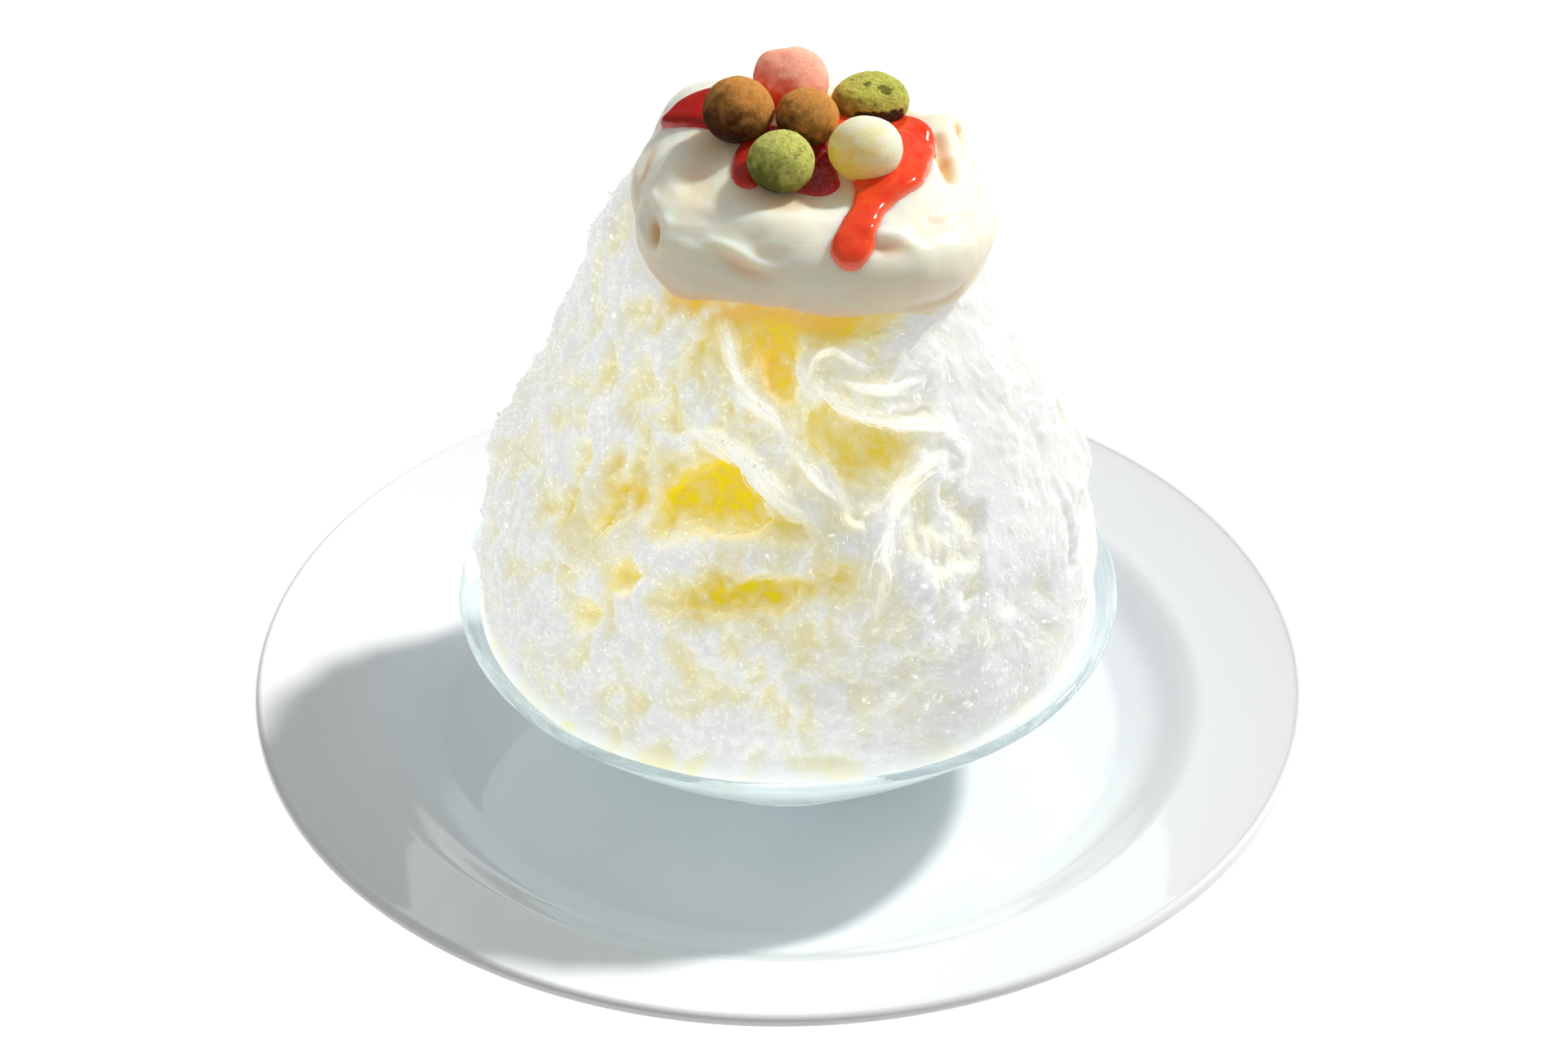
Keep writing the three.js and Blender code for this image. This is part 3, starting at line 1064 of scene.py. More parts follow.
@dataclass
class Plate:
    """The wide-rimmed white plate."""

    radius: float = 135.0
    edge_height: float = 22.0
    lip: float = 1.8
    well_radius: float = 87.0
    well_height: float = 8.0
    cove: Outline = field(default_factory=lambda: [(0.0, 0.0), (3.0, 0.7), (10.0, 3.0)])
    shoulder_radius: float = 110.0
    shoulder_height: float = 17.4
    shoulder: Outline = field(default_factory=lambda: [(-6.0, -2.4), (-2.0, -0.4), (3.0, 0.9)])
    rim_dip: tuple[float, float] = (3.0, 1.0)
    under: Outline = field(default_factory=lambda: [(97.0, 7.0), (114.0, 13.8)])
    foot_radius: float = 76.0
    foot_width: float = 5.0
    foot_height: float = 3.2
    foot_bevel: float = 0.6
    steps: int = 224

    def outline(self) -> Outline:
        """The plate's profile from the axis under it, round the lip, to the axis above."""
        rim_end = self.radius - self.lip
        inner = self.foot_radius - self.foot_width / 2
        outer = self.foot_radius + self.foot_width / 2
        top = [(rim_end, self.edge_height + self.lip)]
        top.append((rim_end - self.rim_dip[0], self.edge_height + self.lip - self.rim_dip[1]))
        for radius, height, bend in (
            (self.shoulder_radius, self.shoulder_height, self.shoulder),
            (self.well_radius, self.well_height, self.cove),
        ):
            top += [(radius + out, height + up) for out, up in bend[::-1]]
        top += [(self.well_radius - inward, self.well_height) for inward in (4.0, 16.0)]
        below = [(outer, self.foot_height - self.foot_bevel), (self.well_radius, self.foot_height)]
        below += self.under + [(rim_end, self.edge_height - self.lip)]
        return [
            (0.0, self.foot_height),
            (inner - 1.0, self.foot_height),
            (inner, self.foot_height - 0.5),
            (inner + self.foot_bevel, 0.0),
            (outer - self.foot_bevel, 0.0),
            *smooth_line(below, 8)[:-1],
            *arc(rim_end, self.edge_height, self.lip, -math.pi / 2, math.pi, 12)[:-1],
            *smooth_line(top, 8),
            (0.0, self.well_height),
        ]

    def build(self) -> bpy.types.Object:
        """Makes and dresses the plate."""
        mesh = to_mesh(spun(self.outline(), self.steps), "glazed_plate")
        return piece(mesh, GlazeFinish().build(), ["plate"])


# Glass bowl ------------------------------------------------------------------------------------


@dataclass
class GlassBowl:
    """The flared bowl of thick, slightly wavy glass."""

    centre_x: float = 2.0
    base: float = 8.3
    rim_radius: float = 83.3
    rim_height: float = 48.6
    foot_radius: float = 39.5
    foot_top: float = 3.0
    foot_recess: float = 1.5
    foot_ring: float = 6.0
    foot_bevel: float = 1.0
    wall: float = 2.8
    floor: float = 5.2
    floor_corner: Outline = field(default_factory=lambda: [(3.0, 0.6), (8.0, 0.0)])
    bulge: tuple[float, float] = (63.4, 27.6)
    wave: float = 0.34
    steps: int = 256

    @property
    def shift(self) -> np.ndarray:
        """From the plate's axis to the bowl's."""
        return np.array([self.centre_x, 0.0, 0.0])

    def beside(self, share: float, distance: float) -> tuple[float, float]:
        """The point a distance inside the outer wall, at a share of the way up it."""
        start = np.array([self.foot_radius, self.base + self.foot_top])
        bulge, end = np.array(self.bulge), np.array([self.rim_radius, self.rim_height])
        place = (1 - share) ** 2 * start + 2 * share * (1 - share) * bulge + share**2 * end
        along = 2 * (1 - share) * (bulge - start) + 2 * share * (end - bulge)
        along /= np.linalg.norm(along)
        return float(place[0] - along[1] * distance), float(place[1] + along[0] * distance)

    def wall_line(self, distance: float, steps: int, last: float = 1.0) -> Outline:
        """Points a distance inside the outer wall, from the foot up to a share of the way."""
        return [self.beside(last * step / steps, distance) for step in range(steps + 1)]

    def bottom_line(self, gap: float) -> Outline:
        """The bottom of the inside, from the wall in to the axis, raised by a gap."""
        floor = self.base + self.foot_recess + self.floor + gap
        corner = [(self.foot_radius - inward - gap, floor + up) for inward, up in self.floor_corner]
        return corner + [(0.0, floor)]

    def outline(self) -> Outline:
        """The bowl's profile, from the axis under it, round the lip, to the axis inside."""
        ring = self.foot_radius - self.foot_ring
        last, before = self.beside(1.0, 0.0), self.beside(0.999, 0.0)
        outward = math.atan2(before[0] - last[0], last[1] - before[1])
        lip = self.beside(1.0, self.wall / 2)
        return [
            (0.0, self.base + self.foot_recess),
            (ring, self.base + self.foot_recess),
            (ring + self.foot_bevel, self.base),
            (self.foot_radius - self.foot_bevel, self.base),
            *self.wall_line(0.0, 44),
            *arc(*lip, self.wall / 2, outward, math.pi, 12)[1:-1],
            *self.wall_line(self.wall, 44)[::-1][:-1],
            *self.bottom_line(0.0),
        ]

    def build(self) -> bpy.types.Object:
        """Makes and dresses the bowl."""
        mesh = to_mesh(spun(self.outline(), self.steps), "wavy_bowl")
        points = points_of(mesh)
        around, radius = polar(points)
        free = smoothstep(points[:, 2], self.base + 4.0, self.base + 14.0)
        up = points[:, 2] * 3.0 + radius
        turn = np.column_stack([np.cos(around) * 60.0, np.sin(around) * 60.0, up])
        push = self.wave * fractal(turn, (17.0, 17.0, 9.0), 5, 3) * free
        outward = 1.0 + push / np.maximum(radius, 1.0)
        points[:, 0] *= outward
        points[:, 1] *= outward
        top = smoothstep(points[:, 2], self.rim_height - 8.0, self.rim_height)
        points[:, 2] += 0.5 * wander(turn * (1, 1, 0), 26.0, 9) * top
        mark_points(mesh, "ring", (np.hypot(points[:, 0], points[:, 1]) + points[:, 2]) * MM)
        points[:, 0] += self.centre_x
        move_points(mesh, points)
        made = piece(mesh, GlassFinish().build(), ["glass_bowl"])
        made.visible_shadow = False
        return made


# Shaved ice ------------------------------------------------------------------------------------


@dataclass(frozen=True)
class Mark:
    """A place on the heap: azimuth in degrees from +X, height, reach and a depth."""

    azimuth: float
    height: float
    reach: float
    depth: float

    def share(self, azimuth: np.ndarray, height: np.ndarray, radius: np.ndarray) -> np.ndarray:
        """How strongly the mark is felt at places about the bowl's axis."""
        around = wrapped(azimuth - math.radians(self.azimuth)) * radius
        return falloff(np.hypot(around, height - self.height), self.reach)


@dataclass(frozen=True)
class Recess:
    """A hollow eaten into the heap by syrup.

    Its outline is given as azimuths and heights. Its lower right edge is crisper than the rest.
    """

    outline: tuple[tuple[float, float], ...]
    depth: float
    soft: float  # half the width of its edge
    syrup: float

    def shares(self, azimuth: np.ndarray, height: np.ndarray, radius: float) -> np.ndarray:
        """How far places have sunk and how stained they are.

        Args:
            azimuth: their azimuths.
            height: their heights.
            radius: the heap's usual radius there.

        Returns:
            A row of shares for the sinking and one for the stain.
        """
        corners = np.radians(np.array([corner[0] for corner in self.outline]))
        middle = math.atan2(np.sin(corners).mean(), np.cos(corners).mean())
        flat = np.column_stack([wrapped(azimuth - middle) * radius, height])
        edge = np.column_stack([
            wrapped(corners - middle) * radius, np.array([corner[1] for corner in self.outline]),
        ])
        reach = 3.0 * self.soft + 4.5
        near = np.all((flat > edge.min(axis=0) - reach) & (flat < edge.max(axis=0) + reach), axis=1)
        shares = np.zeros((2, len(flat)))
        places = flat[near]
        if not len(places):
            return shares
        depth = inside_distance(places, edge)
        key = np.column_stack([places + math.degrees(middle), np.zeros(len(places))])
        depth += 1.1 * fractal(key, 4.6, 231, 3)
        centre = edge.mean(axis=0)
        side = unit(places - centre) @ np.array([-0.6, 0.8])
        soft = self.soft * (1.0 + 0.65 * side)
        shares[0, near] = smoothstep(depth / soft, -0.9, 1.7)
        frayed = depth + 1.0 * fractal(key * (1.0, 0.6, 1.0), 1.9, 241, 3)
        stain = 0.62 * smoothstep(frayed, -3.2 - 0.8 * side, 2.4)
        shares[1, near] = stain + 0.38 * smoothstep(frayed, -0.4, 3.4)
        return shares


@dataclass(frozen=True)
class Halo:
    """A broad place on the heap: azimuth, height, half its width, half its height and strength."""

    azimuth: float
    height: float
    wide: float
    tall: float
    strength: float

    def share(self, azimuth: np.ndarray, height: np.ndarray, radius: Any) -> np.ndarray:
        """How strongly it is felt at places about the bowl's axis."""
        around = wrapped(azimuth - math.radians(self.azimuth)) * radius / self.wide
        return self.strength * falloff(np.hypot(around, (height - self.height) / self.tall), 1.0)


@dataclass(frozen=True)
class Ridge:
    """A soft crumbly bank on the heap, along azimuths and heights."""

    line: tuple[tuple[float, float], ...]
    reach: float
    push: float
    combed: float = 0.0  # depth of the fibres that run along it

    def share(
        self, azimuth: np.ndarray, height: np.ndarray, usual: float = 64.0
    ) -> tuple[np.ndarray, np.ndarray]:
        """How strongly the bank and its fibres are felt.

        Args:
            azimuth: azimuths of the places.
            height: their heights.
            usual: the heap's usual radius there.

        Returns:
            The shares of the bank and of its fibres.
        """
        middle = math.radians(self.line[0][0])
        flat = np.column_stack([wrapped(azimuth - middle) * usual, height])
        spots = [(math.radians(spot[0] - self.line[0][0]) * usual, spot[1]) for spot in self.line]
        away, key = np.full(len(flat), np.inf), np.zeros((len(flat), 3))
        for number, (start, end) in enumerate(zip(spots, spots[1:])):
            distance, share = segment_distance(flat, start, end)
            step = np.subtract(end, start)
            beside = ((flat - start) @ (-step[1], step[0])) / np.hypot(*step)
            nearer = (distance < away)[:, None]
            key = np.where(nearer, np.column_stack([number + share, beside, 0.0 * beside]), key)
            away = np.minimum(away, distance)
        away += 0.45 * self.reach * fractal(flat @ np.eye(2, 3), 5.0, 221, 3)
        felt = falloff(away, self.reach)
        return felt, felt * fractal(key * (3.0, 1.0, 1.0), (14.0, 1.9, 1.0), 223, 2)


HOLLOWS = [
    Mark(-105, 118, 13, 8), Mark(-94, 148, 11, 5), Mark(-70, 128, 13, 5), Mark(-91, 99, 13, 4.5),
    Mark(-131, 80, 7, 3), Mark(-123, 97, 7, 3.5), Mark(-143, 118, 8, 3), Mark(-158, 103, 9, 3),
    Mark(160, 118, 14, 4), Mark(105, 130, 14, 5), Mark(85, 90, 13, 4.5), Mark(130, 82, 11, 4),
    Mark(40, 112, 12, 4), Mark(12, 84, 11, 3),
]
SWELLINGS = [
    Mark(176, 160, 14, 2.6), Mark(-66, 146, 12, 3.2), Mark(-58, 106, 16, 3.2),
    Mark(-100, 134, 9, 2.6), Mark(-104, 82, 15, 2), Mark(65, 140, 13, 3), Mark(110, 106, 14, 3),
    Mark(0, 100, 15, 1.6),
]

RECESSES = [
    Recess(((-99.5, 152), (-98, 146), (-96, 141), (-92, 138.5), (-88, 139), (-86.5, 143),
        (-87.5, 147), (-86, 152), (-88, 158), (-96, 160)), 4.2, 1.4, 0.74),
    Recess(((-84, 154), (-80, 152.5), (-74, 153.5), (-67, 152), (-60, 152.6), (-52, 151.5),
        (-50, 160), (-84, 164)), 3.2, 1.4, 0.5),
    Recess(((-130, 156.5), (-120, 154), (-112, 155.5), (-104, 155), (-100, 160), (-128, 164)),
        2.4, 1.4, 0.5),
    Recess(((-108, 149), (-104, 152), (-100, 150), (-101, 145), (-105, 144.5)), 2.4, 1.4, 0.3),
    Recess(((-70, 148), (-64, 149), (-60, 147), (-63, 144), (-69, 144.5)), 2.4, 1.4, 0.35),
    Recess(((-82, 140.5), (-77, 139.6), (-70.7, 135), (-63.4, 131.6), (-57.4, 129), (-55, 126.5),
        (-58, 123.4), (-64, 119), (-69, 114), (-73, 110.5), (-76.5, 112.5), (-77.5, 119),
        (-81, 125), (-85, 130.7), (-85.6, 136.7)), 3.4, 2.0, 0.36),
    Recess(((-120, 108.8), (-119, 115.5), (-114.6, 120), (-108, 122.8), (-103, 121.3), (-99, 117.6),
        (-96, 116), (-94.7, 111.6), (-97.4, 108.4), (-104, 106.6), (-111, 107.4), (-115, 104.7),
        (-118, 103.7)), 6.5, 1.8, 0.62),
    Recess(((-97.8, 113.6), (-92, 114), (-86.4, 113), (-85.6, 109.5), (-90, 107.3), (-95.5, 107.6)),
        2.8, 1.3, 0.7),
    Recess(((-132, 114.6), (-128, 118), (-124, 115.4), (-122.7, 111.5), (-125, 109),
        (-127.8, 106.7), (-129.4, 103), (-133, 100), (-134, 103), (-132, 108), (-132.5, 111.6)),
        4.6, 1.3, 0.72),
    Recess(((-127, 93.8), (-125.8, 96.3), (-122.6, 97), (-120.8, 95.7), (-121, 92.9),
        (-123.3, 90.6), (-126, 90.5)), 4.2, 1.2, 0.6),
    Recess(((-134.2, 78.9), (-132.7, 83), (-130.3, 84), (-128.5, 81.9), (-129.5, 77.7),
        (-132, 75.3)), 4.0, 1.3, 0.55),
    Recess(((-136.3, 89.5), (-134.5, 93.7), (-132.4, 97), (-131, 95.2), (-132.8, 91.2),
        (-134.8, 88.9)), 3.2, 1.2, 0.42),
    Recess(((-141.3, 81.2), (-140, 84.9), (-138.3, 83.7), (-138.5, 80.2), (-140.3, 78.9)),
        2.4, 1.3, 0.16),
    Recess(((-152.3, 97.8), (-147, 103.5), (-141.3, 106.8), (-139.9, 104.8), (-142.4, 101),
        (-148.4, 97.5)), 3.0, 1.4, 0.34),
    Recess(((-150.3, 114), (-148, 117), (-143, 118.8), (-141, 116.8), (-142.7, 113.8), (-147, 112)),
        3.2, 1.3, 0.36),
    Recess(((-159.6, 113.7), (-158, 117), (-154, 118.3), (-152, 115.3), (-155.3, 111.5)),
        2.4, 1.4, 0.26),
    Recess(((-139.7, 125.6), (-137.3, 128), (-135, 127), (-135.4, 124.8), (-138, 123.9)),
        2.2, 1.2, 0.34),
    Recess(((-158.4, 126.3), (-155, 129.8), (-149, 131.7), (-147.6, 128.8), (-151, 125),
        (-155, 124.6)), 2.4, 1.4, 0.32),
    Recess(((-124.6, 81.7), (-123, 83.4), (-121, 83.3), (-121.2, 80.7), (-123.2, 79.5)),
        2.2, 1.2, 0.2),
    Recess(((-120.5, 141.4), (-118, 143), (-115.5, 142.3), (-116, 139.6), (-118.7, 138.6)),
        2.2, 1.4, 0.42),
    Recess(((-148, 149), (-144.8, 152.3), (-139, 153), (-138, 150), (-142, 147.6)), 2.2, 1.4, 0.34),
    Recess(((-142, 126.4), (-139, 129.4), (-137, 127.6), (-138, 124.7)), 2.2, 1.1, 0.34),
    Recess(((-117.8, 91.9), (-115, 94.7), (-111, 95.3), (-109.6, 93.2), (-111.8, 90.4),
        (-115.7, 89.6)), 2.6, 1.2, 0.5),
    Recess(((-109, 96.5), (-104, 98.2), (-100, 97), (-100.4, 93.4), (-104.6, 92.2), (-108, 93.4)),
        3.0, 1.2, 0.8),
    Recess(((-98.5, 98.2), (-92.6, 99.7), (-88, 98.7), (-87.3, 94.8), (-91.6, 92), (-97, 93.4)),
        2.8, 1.3, 0.75),
    Recess(((-84, 102), (-79, 104), (-76, 101.3), (-78, 96.7), (-82.8, 95.7)), 2.6, 1.3, 0.62),
    Recess(((-64.6, 111), (-59.5, 115.3), (-53, 115.5), (-46.7, 110), (-47.8, 104), (-54, 98.7),
        (-59.6, 98.7), (-64.5, 104)), 2.6, 2.0, 0.13),
    Recess(((-130.6, 69.2), (-122, 77.6), (-110.4, 82.8), (-101, 80.6), (-98.7, 73.6),
        (-105.3, 66.5), (-116.4, 63.3), (-126, 64)), 1.2, 2.2, 0.13),
    Recess(((-85, 78), (-77, 83), (-66, 82), (-61, 76.8), (-68, 74), (-79, 71)), 2.0, 1.8, 0.24),
    Recess(((-58, 95.2), (-52.7, 95), (-51.4, 90), (-56, 88)), 1.6, 1.5, 0.14),
    Recess(((-158, 101), (-170, 97.5), (172, 96), (152, 98), (150, 112), (170, 118), (-172, 117),
        (-160, 113)), 4.2, 2.4, 0.02),
    Recess(((152, 112), (158, 123), (167, 121), (168, 113), (160, 108)), 3.4, 1.6, 0.6),
    Recess(((96, 124), (102, 137), (112, 135), (115, 127), (105, 121)), 4.0, 1.6, 0.8),
    Recess(((76, 86), (82, 96), (93, 94), (95, 86), (85, 81)), 3.8, 1.6, 0.7),
    Recess(((124, 78), (128, 87), (136, 86), (137, 79), (130, 76)), 3.0, 1.5, 0.5),
    Recess(((33, 108), (38, 118), (47, 116), (48, 108), (40, 104)), 3.2, 1.6, 0.5),
    Recess(((6, 81), (11, 89), (18, 88), (18, 82), (12, 79)), 2.4, 1.5, 0.2),
]
RIDGES = [
    Ridge(((-121, 102.5), (-113, 105), (-105, 104.5), (-97, 105.5), (-87, 104.5)), 5.5, 2.1),
    Ridge(((-134.5, 98), (-129.3, 101), (-127, 104.5), (-124.4, 107.2), (-121.8, 110.6)), 3.6, 1.6),
    Ridge(((-126.5, 88.4), (-123.2, 88.6), (-120.0, 91.2), (-118.8, 95.5)), 3.0, 1.4),
    Ridge(((-134.5, 74), (-131.5, 73.8), (-128.4, 76.6), (-127.4, 81)), 3.0, 1.3),
    Ridge(((-143, 63.5), (-133.5, 68.4), (-122, 76.7), (-112, 83.6), (-102.8, 85.5), (-93.8, 83.6)),
        6.0, 1.9),
    Ridge(((-59.4, 100.8), (-65.3, 92.2), (-71, 83.7), (-76, 77), (-82, 71.5)), 8.0, 2.6),
    Ridge(((-69, 113.4), (-71.8, 108.7), (-74, 102), (-75, 93.5)), 6.0, 1.7),
    Ridge(((-57.7, 109.8), (-62.3, 106.4), (-64.5, 100.2), (-63.6, 92.8)), 4.5, 1.6),
    Ridge(((-98, 91), (-91, 90), (-84, 92), (-79, 95)), 4.0, 1.3),
    Ridge(((-50, 79), (-56, 77.8), (-62.8, 78.6), (-71.4, 73.3)), 5.5, 1.8),
    Ridge(((-126, 146.5), (-121.7, 151), (-117, 156)), 3.0, 1.3),
    Ridge(((-91, 131.8), (-95, 136.6), (-101.4, 140.6), (-106, 144.4), (-109, 149), (-111, 154)),
        3.2, 2.4, 0.9),
    Ridge(((-84.5, 144.8), (-81.5, 147.8), (-77, 149.3), (-71.3, 147.8), (-66.7, 145.4),
        (-58, 147.5)), 2.6, 1.6, 0.6),
    Ridge(((-84, 144.4), (-79, 141.6), (-74, 138.4), (-68.3, 135.4), (-60, 132.2), (-52, 129.6)),
        4.4, 2.7, 1.3),
    Ridge(((-76, 145), (-70, 141.6), (-63, 139.6), (-54, 139.4), (-46, 141)), 4.6, 1.8, 1.2),
    Ridge(((-124, 126.5), (-116, 130.6), (-108, 130.8), (-100.5, 128), (-94, 123), (-87, 117)),
        5.4, 2.6, 1.3),
    Ridge(((-93, 132), (-88, 128), (-82, 122), (-76.7, 117), (-72, 115)), 4.2, 1.8, 1.2),
    Ridge(((-71, 111), (-66.2, 115.4), (-62.8, 118.3), (-57, 121.2), (-50, 122.4)), 4.2, 2.5, 1.2),
    Ridge(((-118, 140), (-112, 137), (-106, 132.5), (-102, 128)), 3.4, 1.2, 0.9),
    Ridge(((-127, 153), (-126, 141), (-129, 128)), 4.6, 1.8),
    Ridge(((-137, 147), (-139, 132), (-138, 112)), 5.0, 1.8),
    Ridge(((-150, 142), (-151, 124), (-148, 108)), 5.5, 1.7),
    Ridge(((-133, 98), (-137, 86), (-138, 70)), 4.8, 1.4),
    Ridge(((-164, 132), (-165, 120), (-163, 110)), 5.0, 1.6),
    Ridge(((158, 91.5), (178, 91.5), (-166, 90.5), (-155, 88)), 6.5, 2.6),
    Ridge(((-24, 132), (-32, 116), (-37, 98)), 9.0, 1.4),
    Ridge(((-12, 118), (-20, 100), (-28, 84)), 9.0, 1.3),
]
# Syrup that has spread through the ice, whatever its surface does.
HALOS = [
    Halo(-97, 95, 20, 10, 0.55), Halo(-124, 106, 11, 10, 0.16), Halo(-94, 124, 28, 34, 0.17),
    Halo(-90, 97, 28, 16, 0.20), Halo(-104, 117, 14, 13, 0.27), Halo(-99, 104, 20, 7, 0.2),
    Halo(-97, 157, 22, 4, 0.5), Halo(-94, 146, 5, 8, 0.45), Halo(-76, 155, 7, 3, 0.6),
    Halo(-80, 146, 12, 9, 0.26), Halo(-118, 150, 12, 9, 0.2), Halo(-112, 130, 10, 9, 0.18),
    Halo(-140, 118, 14, 22, 0.12), Halo(-148, 140, 12, 14, 0.12), Halo(-107, 113, 7, 3.5, 0.95),
    Halo(-62, 122, 10, 7, 0.42), Halo(-69, 131, 10, 9, 0.36), Halo(-124, 112, 3.5, 3, 0.5),
    Halo(-75, 86, 20, 8, 0.09), Halo(-128, 130, 16, 18, 0.12), Halo(100, 152, 26, 7, 0.4),
    Halo(92, 118, 26, 26, 0.12), Halo(160, 110, 20, 20, 0.08), Halo(30, 110, 22, 20, 0.06),
]
# Where the syrup is browner: painted shade under the cream's overhanging edge and in the deepest
# hollows, on top of the syrup's own browner tone there.
AMBER_SHADE_HALOS = [
    Halo(-99, 158, 30, 3.2, 0.75), Halo(-94, 147, 5, 8, 0.5), Halo(-124, 112, 5, 5, 0.12),
    Halo(-76, 156, 9, 3, 0.5), Halo(100, 154, 26, 5, 0.6), Halo(104, 128, 8, 8, 0.4),
]
CRUMBLED = Halo(-103, 102.5, 14, 5.4, 1.0)  # a bank of loose crumbs
COMBED = Mark(-127, 138, 10, 0.28)  # ice with the teeth of the shaving blade in it
# Along the fibres of the ice, across them, and through the heap.
FIBRES = np.array([(0.62, 0.0, -0.78), (0.78, 0.0, 0.62), (0.0, 1.0, 0.0)]).T
ROOTED = 0.8  # how far the root of a sheet lies under the heap's surface


@dataclass
class IceHeap:
    """The heap of shaved ice, from the glass up to under the cream."""

    bowl: GlassBowl
    cream: BVHTree
    outline_points: Outline = field(default_factory=lambda: [
        (77.2, 52), (77, 62), (76, 75), (72, 90), (67, 105), (60.3, 120), (52, 135),
        (45.5, 150), (41.5, 159), (36, 166), (26, 170), (13, 171.6), (0, 172),
    ])
    bite: float = 0.15  # how far the ice reaches into the glass
    contact: float = 0.92
    even_height: float = 50.0
    free_height: float = 56.0
    lump: float = 1.6
    lump_size: float = 7.0
    shoulder_height: float = 150.0
    top: float = 172.0
    spacing: float = 0.66
    steps: int = 460
    denser: float = 0.22  # how much closer the columns stand at the front than on average
    shown_radius: float = 38.0  # nearer the axis than this, the cream hides the heap
    hidden_spacing: float = 6.0
    cream_from: float = 132.0  # the cream lies above this height
    side_recesses: int = 26  # small hollows round the right and the back
    left_recesses: int = 16
    seed: int = 11

    def __post_init__(self) -> None:
        """Works out the smooth outline and every hollow once."""
        line = np.array(smooth_line(self.outline_points, 8))
        self.curve = line[np.argsort(line[:, 1])]
        recesses = RECESSES + self.chance_recesses()
        heights = [np.mean([corner[1] for corner in recess.outline]) for recess in recesses]
        self.recesses = list(zip(recesses, self.radius_at(np.array(heights)).tolist()))

    def profile(self) -> Outline:
        """The heap's outline, close-set where it shows and coarse where it is hidden."""
        inset = self.bowl.wall - self.bite
        low = self.bowl.bottom_line(-self.bite)[::-1]
        low += self.bowl.wall_line(inset, 10, self.contact)[1:]
        curve = smooth_line([low[-1], *self.outline_points], 24)
        shown = [point for point in curve if point[0] > self.shown_radius]
        hidden = [point for point in curve if point[0] <= self.shown_radius]
        return low[:-1] + even_line(shown, self.spacing) + even_line(hidden, self.hidden_spacing)

    def radius_at(self, height: np.ndarray) -> np.ndarray:
        """The even outline's radius at a height above the glass."""
        return np.interp(height, self.curve[:, 1], self.curve[:, 0])

    def push(self, points: np.ndarray) -> np.ndarray:
        """The CAD model's swellings and hollows.

        Args:
            points: places about the bowl's axis.

        Returns:
            How far each place is pushed out.
        """
        azimuth, radius = polar(points)
        total = self.lump * ripple(points, self.lump_size)
        for sign, marks in ((-1.0, HOLLOWS), (1.0, SWELLINGS)):
            for mark in marks:
                total += sign * mark.depth * mark.share(azimuth, points[:, 2], radius)
        return total * smoothstep(points[:, 2], self.even_height, self.free_height)

    def pushed(self, points: np.ndarray) -> np.ndarray:
        """Lets the swellings and hollows move places.

        Args:
            points: places about the bowl's axis.

        Returns:
            The moved places.
        """
        _, radius = polar(points)
        push = self.push(points)
        slope = smoothstep(points[:, 2], self.shoulder_height, self.top)
        outward = push * (1.0 - slope) / np.maximum(radius, 1.0)
        moved = points.copy()
        moved[:, 0] += points[:, 0] * outward
        moved[:, 1] += points[:, 1] * outward
        moved[:, 2] += push * slope
        return moved

    def graininess(self, points: np.ndarray) -> np.ndarray:
        """Where the ice is loose and sugary, 1, or silky and pressed, 0."""
        azimuth, _ = polar(points)
        left = 0.42 + 0.95 * np.cos(azimuth + math.radians(158.0))
        return np.clip(left + 0.35 * wander(points, 21.0, 31), 0.0, 1.0)

    def eaten(self, points: np.ndarray) -> tuple[np.ndarray, np.ndarray]:
        """How deep the syrup has sunk into the heap and how much it has left there.

        Args:
            points: places about the bowl's axis.

        Returns:
            The depth and the syrup, from 0 to 1.
        """
        azimuth, _ = polar(points)
        depth, dry = np.zeros(len(points)), np.ones(len(points))
        for recess, usual in self.recesses:
            sunk, stain = recess.shares(azimuth, points[:, 2], usual)
            depth = np.maximum(depth, recess.depth * sunk)
            dry *= 1.0 - recess.syrup * stain
        dry *= 1.0 - self.soaked(points)
        streaks = fractal(points @ FIBRES, (9.0, 2.6, 2.6), 43, 3)
        uneven = 1.0 + 0.3 * fractal(points, 6.0, 41, 3) + 0.42 * streaks
        return depth, np.clip((1.0 - dry) * uneven, 0.0, 1.0)

    def soaked(self, points: np.ndarray, halos: Sequence[Halo] = tuple(HALOS)) -> np.ndarray:
        """The syrup that has spread through the ice at places about the bowl's axis."""
        azimuth, radius = polar(points)
        dry = np.ones(len(points))
        for halo in halos:
            dry *= 1.0 - np.clip(halo.share(azimuth, points[:, 2], radius), 0.0, 1.0)
        return (1.0 - dry) * (1.0 + 0.35 * fractal(points, 9.0, 45, 2))

    def chance_recesses(self) -> list[Recess]:
        """Smaller hollows round the sides and the back, from the seed."""
        rng = np.random.default_rng(self.seed + 5)
        made = []
        for number in range(self.side_recesses + self.left_recesses):
            azimuth, height = rng.uniform(-25.0, 195.0), rng.uniform(66.0, 146.0)
            if number >= self.side_recesses:
                azimuth, height = rng.uniform(-172.0, -122.0), rng.uniform(66.0, 150.0)
            usual = float(self.radius_at(np.array([height]))[0])
            size, tall = rng.uniform(2.2, 5.0), rng.uniform(0.8, 1.5)
            outline = []
            for step in range(7):
                angle, reach = math.tau * step / 7, size * rng.uniform(0.7, 1.25)
                outline.append((
                    azimuth + math.degrees(reach * math.cos(angle) / usual),
                    height + reach * tall * math.sin(angle),
                ))
            made.append(Recess(tuple(outline), rng.uniform(1.4, 3.2), 1.4, rng.uniform(0.05, 0.3)))
        return made

